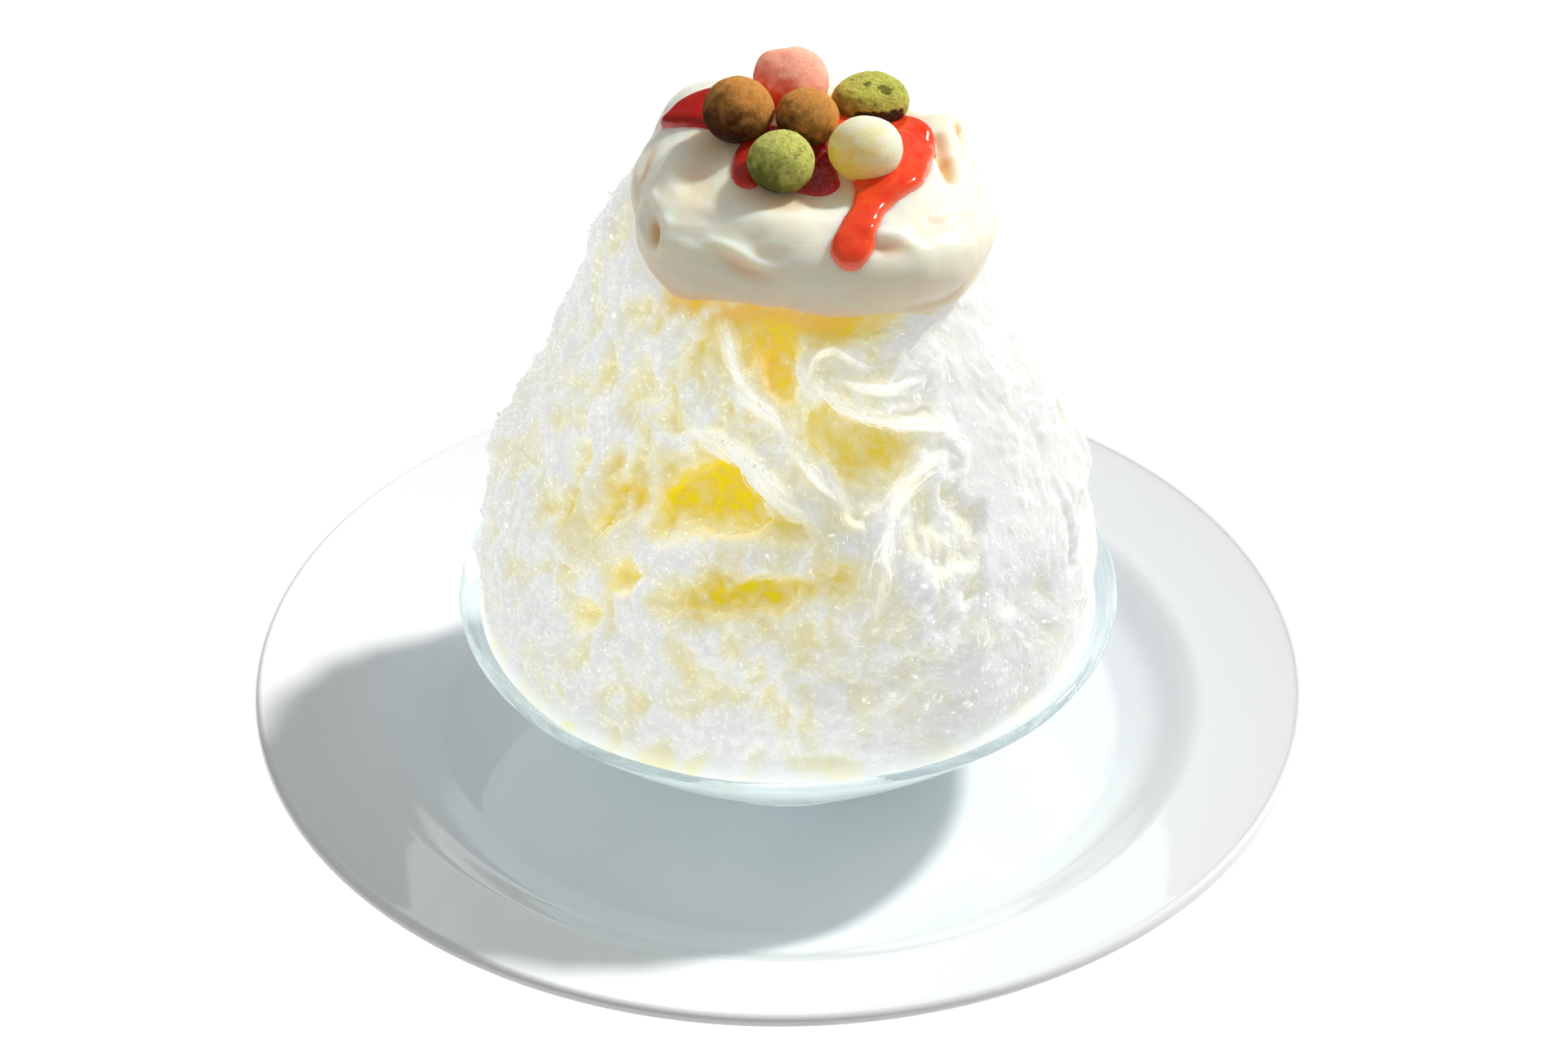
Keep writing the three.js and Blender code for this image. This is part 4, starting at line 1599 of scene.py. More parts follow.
    def relief(self, points: np.ndarray) -> tuple[np.ndarray, np.ndarray, np.ndarray]:
        """The fine shape of the heap's surface.

        Args:
            points: places about the bowl's axis.

        Returns:
            How far each place stands out, its syrup and its graininess.
        """
        azimuth, _ = polar(points)
        grainy = self.graininess(points)
        silky = 1.0 - grainy
        depth, syrup = self.eaten(points)
        calm = 1.0 - 0.8 * np.clip(depth / 2.4, 0.0, 1.0)
        lit = smoothstep(np.cos(azimuth - math.radians(10.0)), -0.1, 0.9)
        bend = np.column_stack([wander(points, 19.0, seed) for seed in (51, 52, 53)])
        drift = points + 6.0 * bend
        swept = drift @ FIBRES
        folds = 0.55 - 2.2 * np.abs(fractal(swept, (30.0, 9.5, 14.0), 61, 2))
        column = 0.45 - 1.9 * np.abs(fractal(drift, (7.0, 7.0, 17.0), 65, 2))
        lump = fractal(drift, (8.5, 8.5, 10.0), 71, 2)
        clump = 0.5 - 2.0 * np.abs(fractal(drift, 4.2, 75, 2))
        hair = fractal(swept, (8.0, 1.3, 1.7), 81, 2)
        sugar = fractal(points, 1.2, 91, 2)
        aside = wrapped(azimuth - math.radians(COMBED.azimuth)) * 55.0
        combed = falloff(np.hypot(aside, (points[:, 2] - COMBED.height) / 1.2), COMBED.reach)
        teeth = np.sin(azimuth * 55.0 / 0.34 + 2.4 * wander(points, 7.0, 95)) * combed
        height = calm * (
            1.45 * silky * (1.0 - 0.6 * lit) * folds
            + 2.1 * grainy * column
            + (1.3 * grainy + 0.5 * silky) * lump
            + (0.16 * silky + 0.12 * grainy) * clump
            + COMBED.depth * teeth
        )
        height += 0.30 * silky * (1.0 - 0.4 * lit) * hair * (0.4 + 0.6 * calm)
        height += (0.03 + 0.09 * grainy) * sugar * (0.3 + 0.7 * calm)
        clusters = smoothstep(fractal(drift, (5.5, 5.5, 3.6), 97, 3), -0.12, 0.26)
        crumbs = CRUMBLED.share(azimuth, points[:, 2], 66.0) * clusters
        height += 1.7 * crumbs
        syrup = syrup * (1.0 - 0.7 * crumbs)
        broken = 1.0 + 0.6 * fractal(drift, 3.4, 99, 3)
        for ridge in RIDGES:
            share, fibre = ridge.share(azimuth, points[:, 2])
            height += ridge.push * share * broken + ridge.combed * fibre
            syrup = syrup * (1.0 - 0.8 * share)
        raised = folds * silky + (0.9 * lump + 1.0 * column + 0.2 * clump) * grainy
        low = np.clip(0.2 - raised, 0.0, 1.0)
        front = smoothstep(-np.sin(azimuth), -0.2, 0.6)
        syrup = np.clip(syrup - 0.22 * np.clip(raised, 0.0, 1.0) * calm, 0.0, 1.0)
        # Syrup tint in the low places, stronger at the front and weaker on the sunlit side: partly
        # syrup that has run down, partly painted shade.
        trickle_and_shade = (0.16 + 0.12 * grainy) * low * (0.35 + 0.65 * front) * (1.0 - 0.6 * lit)
        syrup = np.clip(syrup + trickle_and_shade, 0.0, 1.0)
        return height - depth, syrup, grainy

    def clearance(self, points: np.ndarray) -> np.ndarray:
        """How far places are outside the cream.

        Args:
            points: places about the bowl's axis.

        Returns:
            The distances, negative inside the cream. Low places count as far from it.
        """
        gap, shift = np.full(len(points), FAR), self.bowl.shift
        for number in np.flatnonzero(points[:, 2] > self.cream_from):
            place = Vector(points[number] + shift)
            found, normal, _, distance = self.cream.find_nearest(place)
            gap[number] = math.copysign(distance, (place - found).dot(normal))
        return gap

    def build_core(self) -> bpy.types.Mesh:
        """Makes the heap's own surface, still in millimetres."""
        mesh = to_mesh(spun(self.profile(), self.steps), "ice_core")
        even = points_of(mesh)
        azimuth, radius = polar(even)
        azimuth -= self.denser * np.cos(azimuth)
        even[:, 0], even[:, 1] = radius * np.cos(azimuth), radius * np.sin(azimuth)
        points = self.pushed(even)
        move_points(mesh, points)
        height, syrup, grainy = self.relief(points)
        gap = self.clearance(points)
        apart = smoothstep(gap, 0.2, 3.0)
        free = smoothstep(points[:, 2], self.even_height - 1.0, self.free_height)
        jitter = np.column_stack([wander(points, 2.2, seed) for seed in (101, 102, 103)])
        lift = height * np.where(height < 0.0, smoothstep(gap, 0.0, 7.0), apart)
        points += normals_of(mesh) * (lift * free)[:, None]
        points += jitter * ((0.10 + 0.16 * grainy) * free * apart)[:, None]
        points[:, 0] += self.bowl.centre_x
        move_points(mesh, points)
        mark_points(mesh, "syrup", syrup)
        mark_points(mesh, "grainy", grainy)
        mark_points(mesh, "amber", self.soaked(points, AMBER_SHADE_HALOS))
        edge = self.even_height
        mark_points(mesh, "melt", 1.0 - smoothstep(points[:, 2], edge - 10.0, edge - 1.0))
        return mesh

    def surface_at(self, azimuth: np.ndarray, height: np.ndarray) -> tuple[np.ndarray, np.ndarray]:
        """Places on the finished heap about the bowl's axis.

        Args:
            azimuth: azimuths in radians.
            height: heights before the swellings move them.

        Returns:
            The places and the outward directions there.
        """
        radius = self.radius_at(height)
        slope = self.radius_at(height + 1.0) - self.radius_at(height - 1.0)
        out = unit(np.column_stack([np.cos(azimuth), np.sin(azimuth), -0.5 * slope]))
        axes = (radius * np.cos(azimuth), radius * np.sin(azimuth), height)
        points = self.pushed(np.column_stack(axes))
        return points + out * self.relief(points)[0][:, None], out


@dataclass(frozen=True)
class Veil:
    """A thin sheet of ice that stands out of the heap.

    Its root follows azimuths and heights. Its free edge lies to the left of that way, seen from
    outside, or to the right where the width is negative. It leans out by an angle in degrees that
    grows across it by the curl.
    """

    root: tuple[tuple[float, float], ...]
    width: float
    lean: float
    curl: float = 20.0
    thick: float = 0.6
    grainy: float = 0.0
    bright: float = 0.6
    lift: float = 0.0

    def rig(self, heap: IceHeap) -> np.ndarray:
        """Works out its root on the heap.

        Args:
            heap: the heap that it is rooted in.

        Returns:
            Three rows of vectors along the root: the places, outward and aside.
        """
        way = np.array(even_line(smooth_line(list(self.root), 8), 1.0))
        points, out = heap.surface_at(np.radians(way[:, 0]), way[:, 1])
        for _ in range(3):
            points[1:-1] = (points[:-2] + 2.0 * points[1:-1] + points[2:]) / 4.0
        ahead = unit(np.gradient(points, axis=0))
        aside = unit(np.cross(out, ahead))
        return np.stack([points, np.cross(ahead, aside), aside])

    def places(
        self, rig: np.ndarray, along: np.ndarray, across: np.ndarray, seed: int
    ) -> np.ndarray:
        """Places on the sheet about the bowl's axis.

        Args:
            rig: its root, from rig().
            along: shares of the way along the root.
            across: shares of the way out to the free edge.
            seed: picks its ragged edge.

        Returns:
            The places, one row each.
        """
        share = np.linspace(0.0, 1.0, rig.shape[1])
        base, up, side = (
            np.column_stack([np.interp(along, share, rows[:, axis]) for axis in range(3)])
            for rows in rig
        )
        length = float(rig.shape[1] - 1)
        apart = np.full(len(along), seed * 9.7)
        key = np.column_stack([along * length, apart, across * abs(self.width)])
        hump = np.sin(np.pi * np.clip(along, 0.0, 1.0)) ** 0.4
        flat = key * (1, 1, 0)
        ragged = 1.0 + 0.38 * fractal(flat, 5.5, seed, 2) + 0.14 * fractal(flat, 1.3, seed + 1, 2)
        wide = self.width * (0.12 + 0.88 * hump) * ragged
        swing = 16.0 * wander(flat, 8.0, seed + 2)
        turn = np.radians(self.lean + self.curl * across + swing)
        wrinkle = 0.55 * fractal(key, (9.0, 1.0, 2.6), seed + 3, 2)
        wrinkle += 0.16 * fractal(key, (5.0, 1.0, 0.9), seed + 5, 2)
        place = base + side * (wide * across * np.cos(turn))[:, None]
        rise = np.abs(wide) * across * np.sin(turn) + wrinkle * (0.15 + across)
        return place + up * (rise + self.lift * hump - ROOTED)[:, None]

    def build(self, rig: np.ndarray, length: float, seed: int) -> bpy.types.Mesh:
        """Makes the sheet as a closed mesh.

        Args:
            rig: its root, from rig().
            length: the root's length.
            seed: picks its ragged edge.

        Returns:
            The mesh with its marks, about the bowl's axis.
        """
        columns = max(10, int(length / 0.7))
        rows = max(5, int(abs(self.width) / 0.6))
        bm = bmesh.new()
        bmesh.ops.create_grid(bm, x_segments=columns, y_segments=rows, size=0.5)
        marks = {name: bm.verts.layers.float.new(name) for name in ("along", "across", "span")}
        flat = np.array([vert.co for vert in bm.verts]) + (0.5, 0.5, 0.0)
        spread = self.places(rig, flat[:, 0], 0.9 * flat[:, 1], seed)
        first = 3.7 * seed  # sets its fibres apart from those of other sheets
        for vert, place, (along, across, _) in zip(bm.verts, spread, flat):
            vert.co = place
            vert[marks["along"]], vert[marks["across"]] = along * length + first, across
            vert[marks["span"]] = across * abs(self.width)
        bmesh.ops.recalc_face_normals(bm, faces=bm.faces)
        bmesh.ops.solidify(bm, geom=bm.faces[:], thickness=self.thick)
        mesh = to_mesh(bm, "veil")
        share = (marks_of(mesh, "along") - first) / length
        ends = smoothstep(share, 0.0, 0.3) * smoothstep(1.0 - share, 0.0, 0.3)
        mark_points(mesh, "grainy", np.full(len(mesh.vertices), self.grainy))
        mark_points(mesh, "bright", self.bright * ends)
        return mesh


VEILS = [
    Veil(((-91.5, 132.5), (-95, 137), (-101.4, 140.4), (-106, 144), (-109, 149), (-112, 156)),
        -3.4, 14, 24, 0.32, 0.35, 0.8),
    Veil(((-90.5, 131.5), (-94, 135.5), (-100, 138), (-105, 141)),
        -2.6, 22, 20, 0.3, 0.1, 0.7, lift=1.2),
    Veil(((-84.5, 144.5), (-81.5, 148.6), (-77, 150.3), (-71.3, 147.8), (-66.7, 145.4)),
        1.8, 24, 24, 0.3, 0.1, 0.7, lift=0.3),
    Veil(((-83.5, 145), (-79, 142.5), (-74, 139), (-68.3, 135.8), (-62, 133), (-56, 131),
        (-50, 129), (-45.9, 126.6)), -3.8, 14, 26, 0.34, 0.1, 0.85, lift=0.9),
    Veil(((-77, 144.5), (-71, 141), (-65, 138.5), (-58, 137.5), (-52, 138.5)),
        3.4, 16, 22, 0.3, 0.0, 0.6, lift=0.4),
    Veil(((-118, 131), (-108.7, 132), (-100.5, 130.4), (-94, 125.3), (-88, 119.3)),
        -3.4, 6, 18, 0.3, 0.2, 0.4, lift=0.5),
    Veil(((-101, 129), (-95, 124), (-90, 119), (-86, 116.5)),
        -3.4, 8, 18, 0.3, 0.0, 0.45, lift=0.5),
    Veil(((-90, 131), (-85, 126.8), (-80, 121), (-76.7, 117)),
        -3.0, 8, 20, 0.3, 0.0, 0.4, lift=0.4),
    Veil(((-70.5, 111.5), (-66.2, 115), (-62.8, 117.3), (-58, 120.2), (-51.7, 121.4)),
        4.4, 10, 10, 0.34, 0.0, 0.85, lift=0.5),
    Veil(((-69, 113.4), (-71.8, 108.7), (-74, 102), (-75, 93.5)),
        3.6, 10, 14, 0.3, 0.0, 0.5, lift=0.2),
    Veil(((150, 124), (142, 121), (135, 113), (132, 104)), 5.0, 12, 20, 0.36, 0.1, 0.8, lift=0.6),
    Veil(((112, 140), (103, 139), (95, 134), (88, 126)), -5.0, 12, 22, 0.36, 0.0, 0.8, lift=0.8),
    Veil(((96, 100), (88, 99), (78, 94), (70, 86)), -4.4, 14, 22, 0.36, 0.0, 0.8, lift=0.6),
    Veil(((52, 121), (44, 120), (36, 114), (30, 104)), -4.4, 14, 22, 0.36, 0.0, 0.8, lift=0.4),
    Veil(((140, 92), (131, 90), (122, 84)), -3.6, 20, 20, 0.4, 0.4, 0.8),
    Veil(((22, 94), (13, 92), (4, 86)), -3.6, 20, 20, 0.4, 0.0, 0.8),
    Veil(((172, 126), (164, 126), (156, 121)), -3.4, 20, 20, 0.4, 0.6, 0.8),
]


def veil_seed(number: int) -> int:
    """The seed of a sheet by its number."""
    return 300 + 7 * number


@dataclass
class VeilSet:
    """Every sheet on the heap, with the hairs and grains along their free edges."""

    heap: IceHeap
    chance_count: int = 26
    strand_rings: int = 5
    seed: int = 17

    def chance_veils(self) -> list[Veil]:
        """Smaller sheets scattered over the heap, clear of its hollows."""
        rng = np.random.default_rng(self.seed)
        made: list[Veil] = []
        while len(made) < self.chance_count:
            azimuth, height = rng.uniform(-180.0, 180.0), rng.uniform(60.0, 146.0)
            length, slant = rng.uniform(7.0, 20.0), rng.normal(-0.8, 0.45)
            usual = float(self.heap.radius_at(np.array([height]))[0])
            bow, middle = rng.uniform(-1.8, 1.8), np.array([0.0, 0.5, 1.0])
            turned = azimuth + np.degrees(length * middle * math.cos(slant) / usual)
            raised = height + length * middle * math.sin(slant) + np.array([0.0, bow, 0.0])
            raised = np.clip(raised, 57.0, 150.0)
            points, _ = self.heap.surface_at(np.radians(turned), raised)
            depth, _ = self.heap.eaten(points)
            grainy = float(self.heap.graininess(points).mean())
            keep = rng.random() < 1.05 - 0.85 * grainy
            width = rng.uniform(2.0, 4.6) * (1.0 - 0.35 * grainy)
            lean, thick = rng.uniform(2.0, 14.0), rng.uniform(0.25, 0.4)
            bright = rng.uniform(0.4, 0.8)
            if keep and depth.max() < 0.6:
                root = tuple(zip(turned.tolist(), raised.tolist()))
                made.append(Veil(root, width, lean, 16.0, thick, grainy, bright))
        return made

    def build(self) -> tuple[bpy.types.Mesh, Copies, Copies]:
        """Makes the sheets, in millimetres.

        Returns:
            Their mesh, the hairs and the grains along their edges.
        """
        parts, hairs, grains = [], [], []
        rng = np.random.default_rng(self.seed + 1)
        for number, veil in enumerate(VEILS + self.chance_veils()):
            seed, rig = veil_seed(number), veil.rig(self.heap)
            length = float(np.linalg.norm(np.diff(rig[0], axis=0), axis=1).sum())
            parts.append(veil.build(rig, length, seed))
            hair_count = int(length * 6.0 * (1.1 - veil.grainy))
            hairs.append(self.edge_copies(veil, rig, seed, hair_count, True, rng))
            grain_count = int(length * 5.0 * veil.grainy)
            grains.append(self.edge_copies(veil, rig, seed, grain_count, False, rng))
        shift = self.heap.bowl.shift
        mesh = join_meshes("ice_veils", parts, ("along", "across", "span", "grainy", "bright"))
        points = points_of(mesh)
        fade = 1.0 - 0.6 * marks_of(mesh, "across")
        mark_points(mesh, "syrup", 0.3 * self.heap.soaked(points) * fade)
        move_points(mesh, points + shift)
        every_hair, every_grain = hairs[0], grains[0]
        for more_hairs, more_grains in zip(hairs[1:], grains[1:]):
            every_hair, every_grain = every_hair.joined(more_hairs), every_grain.joined(more_grains)
        every_hair.places += shift
        every_grain.places += shift
        return mesh, every_hair, every_grain

    def build_strands(self) -> bpy.types.Mesh:
        """Makes the long fine fibres into which the named sheets are combed, in millimetres."""
        rng = np.random.default_rng(self.seed + 2)
        shares = np.linspace(0.0, 1.0, self.strand_rings)
        ways, widths, marks = [], [], {"syrup": [], "grainy": []}
        for number, veil in enumerate(VEILS):
            rig = veil.rig(self.heap)
            length = float(rig.shape[1] - 1)
            front = float(np.clip(-unit(rig[0]).mean(axis=0)[1], 0.0, 1.0))
            count = int((0.4 + 0.7 * front) * length * (abs(veil.width) + 2.5))
            reach = (rng.lognormal(math.log(9.0), 0.5, count) / length).clip(0.12, 0.7)
            start = rng.uniform(0.0, 1.0 - reach)
            across, drift = 1.35 * rng.beta(1.2, 1.7, count), rng.normal(0.1, 0.35, count)
            along = (start[:, None] + reach[:, None] * shares).clip(0.0, 1.0)
            aside = across[:, None] + drift[:, None] * shares
            place = veil.places(rig, along.ravel(), aside.ravel(), veil_seed(number))
            place = place.reshape(count, -1, 3)
            rise = rng.normal(0.1, 0.35, (count, 1)) + rng.normal(0.0, 0.7, (count, 1)) * shares**2
            out = unit(place * (1.0, 1.0, 0.0))
            ways.append(place + out * rise[:, :, None])
            widths.append(rng.uniform(0.04, 0.09, count) * (1.0 + 0.5 * veil.grainy))
            middle = place[:, self.strand_rings // 2]
            marks["syrup"].append(0.3 * self.heap.soaked(middle) * (1.1 - across))
            marks["grainy"].append(rng.uniform(0.0, 1.0, count) * (0.35 + 0.65 * veil.bright))
        centres = np.concatenate(ways) + self.heap.bowl.shift
        values = {name: np.concatenate(rows) for name, rows in marks.items()}
        return threads("ice_strands", centres, np.concatenate(widths), values)

    def edge_copies(
        self,
        veil: Veil,
        rig: np.ndarray,
        seed: int,
        count: int,
        slim: bool,
        rng: np.random.Generator,
    ) -> Copies:
        """Scatters hairs or grains over the outer part of a sheet.

        Args:
            veil: the sheet.
            rig: its root.
            seed: its seed.
            count: how many.
            slim: hairs if true, grains otherwise.
            rng: the source of chance.

        Returns:
            The copies, about the bowl's axis.
        """
        along, across = rng.uniform(0.04, 0.96, count), 1.0 - 0.75 * rng.random(count) ** 1.5
        start = veil.places(rig, along, across, seed)
        outward = unit(start - veil.places(rig, along, across - 0.08, seed))
        ahead = unit(veil.places(rig, along + 0.01, across, seed) - start + 0.004 * outward)
        ahead = unit(ahead + rng.uniform(0.05, 0.75, (count, 1)) * outward)
        loose = unit(rng.normal(size=(count, 3)))
        marks = {"syrup": 0.2 * self.heap.soaked(start), "grainy": np.full(count, veil.grainy)}
        if slim:
            forward = unit(ahead + 0.22 * loose)
            length = rng.lognormal(math.log(2.6), 0.45, count).clip(0.8, 7.0)
            wide = rng.uniform(0.07, 0.14, count)
            sizes = np.column_stack([length, wide, wide])
            start = start + ahead * (length * 0.2)[:, None]
            return Copies(frames_along(forward, loose, sizes), start, marks)
        size = rng.lognormal(math.log(0.38), 0.3, count).clip(0.2, 0.9)
        sizes = size[:, None] * rng.uniform(0.6, 1.3, (count, 3))
        start = start + loose * (0.5 * size)[:, None]
        return Copies(frames_along(loose, ahead, sizes), start, marks)


@dataclass(frozen=True)
class Sample:
    """Random places on a surface, with the outward direction and the marks there."""

    places: np.ndarray
    normals: np.ndarray
    syrup: np.ndarray
    grainy: np.ndarray


@dataclass
class LooseIce:
    """The loose grains, needles and flakes that lie on the heap."""

    heap: IceHeap
    core: bpy.types.Mesh
    grain_count: int = 14500
    needle_count: int = 19000
    flake_count: int = 700
    lowest: tuple[float, float] = (49.0, 54.0)  # heights between which loose ice sets in
    nearest: tuple[float, float] = (1.0, 2.4)  # distances from the cream, likewise
    seed: int = 23

    def sample(
        self, count: int, weigh: Callable[[np.ndarray, np.ndarray], np.ndarray], seed: int
    ) -> Sample:
        """Picks random places on the heap's surface, clear of the cream.

        Args:
            count: how many places.
            weigh: how likely a place is, from its syrup and graininess.
            seed: picks the places.

        Returns:
            The places.
        """
        rng = np.random.default_rng(seed)
        points, faces = points_of(self.core), triangles_of(self.core)
        normals = normals_of(self.core)
        marks = {name: marks_of(self.core, name) for name in ("syrup", "grainy")}
        corners = points[faces]
        cross = np.cross(corners[:, 1] - corners[:, 0], corners[:, 2] - corners[:, 0])
        area = np.linalg.norm(cross, axis=1)
        middle = corners.mean(axis=1)
        syrup, grainy = marks["syrup"][faces].mean(axis=1), marks["grainy"][faces].mean(axis=1)
        gap = self.heap.clearance(middle - self.heap.bowl.shift)
        shown = smoothstep(middle[:, 2], *self.lowest) * smoothstep(gap, *self.nearest)
        chance = area * shown * np.clip(weigh(syrup, grainy), 0.0, None)
        chosen = rng.choice(len(faces), count, p=chance / chance.sum())
        a, b = rng.random(count), rng.random(count)
        a, b = np.where(a + b > 1, 1 - a, a), np.where(a + b > 1, 1 - b, b)
        share = np.column_stack([1 - a - b, a, b])
        places = np.einsum("nk,nkj->nj", share, corners[chosen])
        outward = unit(np.einsum("nk,nkj->nj", share, normals[faces][chosen]))
        return Sample(places, outward, syrup[chosen], grainy[chosen])

    def downhill(self, sample: Sample, rng: np.random.Generator, spread: float) -> np.ndarray:
        """Directions that run along the ice's fibres, each turned sideways by a random angle."""
        down = np.tile(FIBRES[:, 0], (len(sample.places), 1))
        down = unit(down - sample.normals * np.einsum("ij,ij->i", down, sample.normals)[:, None])
        aside = np.cross(sample.normals, down)
        swirl = 0.8 * wander(sample.places, 24.0, 131)
        angle = rng.normal(0.0, spread, len(down)) + swirl
        return down * np.cos(angle)[:, None] + aside * np.sin(angle)[:, None]

    def build_grains(self, more: Copies) -> bpy.types.Mesh:
        """Makes the sugary crystals.

        Args:
            more: the grains on the sheets.

        Returns:
            The mesh of all grains, in millimetres.
        """
        rng, count = np.random.default_rng(self.seed), self.grain_count
        chosen = self.sample(
            count, lambda syrup, grainy: (0.02 + grainy**1.3) * (1.0 - 1.5 * syrup), self.seed
        )
        template = bmesh.new()
        bmesh.ops.create_cube(template, size=1.0)
        forward, upward = unit(rng.normal(size=(count, 3))), unit(rng.normal(size=(count, 3)))
        size = rng.lognormal(math.log(0.36), 0.34, count).clip(0.18, 0.95)
        sizes = size[:, None] * rng.uniform(0.5, 1.35, (count, 3))
        places = chosen.places + chosen.normals * (size * rng.uniform(-0.25, 0.4, count))[:, None]
        marks = {"syrup": chosen.syrup * 0.5, "grainy": chosen.grainy}
        every = Copies(frames_along(forward, upward, sizes), places, marks).joined(more)
        return repeat_shape("ice_grains", template, every)

    def build_needles(self, more: Copies) -> bpy.types.Mesh:
        """Makes the fine needles that lie along the heap's fibres.

        Args:
            more: the needles on the sheets.

        Returns:
            The mesh of all needles, in millimetres.
        """
        rng, count = np.random.default_rng(self.seed + 1), self.needle_count
        chosen = self.sample(
            count, lambda syrup, grainy: (1.15 - grainy) * (1.0 - 0.9 * syrup), self.seed + 1
        )
        template = bmesh.new()
        bmesh.ops.create_cone(
            template, cap_ends=True, segments=3, radius1=0.5, radius2=0.18, depth=1.0
        )
        quarter_turn = Matrix.Rotation(math.pi / 2, 3, "Y")
        bmesh.ops.rotate(template, verts=template.verts, matrix=quarter_turn)
        forward = self.downhill(chosen, rng, 0.42)
        forward += chosen.normals * rng.normal(0.0, 0.12, count)[:, None]
        length = rng.lognormal(math.log(2.8), 0.5, count).clip(0.9, 9.0)
        wide = rng.uniform(0.07, 0.14, count)
        places = chosen.places + chosen.normals * rng.uniform(-0.08, 0.14, count)[:, None]
        turns = frames_along(forward, chosen.normals, np.column_stack([length, wide, wide]))
        marks = {"syrup": chosen.syrup * 0.8, "grainy": chosen.grainy}
        return repeat_shape("ice_needles", template, Copies(turns, places, marks).joined(more))

    def build_flakes(self) -> bpy.types.Mesh:
        """Makes the small curved flakes."""
        rng, count = np.random.default_rng(self.seed + 2), self.flake_count
        chosen = self.sample(
            count, lambda syrup, grainy: (1.1 - grainy) * (1.0 - 1.4 * syrup), self.seed + 2
        )
        template = bmesh.new()
        bmesh.ops.create_grid(template, x_segments=3, y_segments=2, size=0.5)
        for vert in template.verts:
            x, y = vert.co.x, vert.co.y
            vert.co.y = y * (1.0 - 1.3 * x * x) + 0.12 * math.sin(7.0 * x)
            vert.co.z = 0.9 * x * x + 0.5 * y * y
        bmesh.ops.solidify(template, geom=template.faces[:], thickness=0.09)
        forward = self.downhill(chosen, rng, 0.7)
        upward = chosen.normals + rng.normal(0.0, 0.3, (count, 3))
        length = rng.lognormal(math.log(1.1), 0.35, count).clip(0.5, 2.2)
        sizes = np.column_stack([length, length * rng.uniform(0.35, 0.7, count), length * 0.4])
        places = chosen.places + chosen.normals * rng.uniform(-0.1, 0.2, count)[:, None]
        marks = {"syrup": chosen.syrup * 0.6, "grainy": chosen.grainy * 0.4}
        copies = Copies(frames_along(forward, upward, sizes), places, marks)
        return repeat_shape("ice_flakes", template, copies)


# Whipped cream ---------------------------------------------------------------------------------


@dataclass(frozen=True)
class Crease:
    """A ridge or valley of the cream along a bent line, pushed out or in."""

    line: tuple[tuple[float, float, float], ...]
    reach: float
    push: float

    def share(self, points: np.ndarray) -> np.ndarray:
        """How strongly the crease is felt, fading towards its two ends.

        Args:
            points: places on the cream.

        Returns:
            One share for each place.
        """
        best = np.full(len(points), np.inf)
        way = np.zeros(len(points))
        count = len(self.line) - 1
        for number, (start, end) in enumerate(zip(self.line, self.line[1:])):
            distance, share = segment_distance(points, start, end)
            way = np.where(distance < best, (number + share) / count, way)
            best = np.minimum(best, distance)
        return falloff(best, self.reach) * (0.35 + 0.65 * np.sin(np.pi * way))


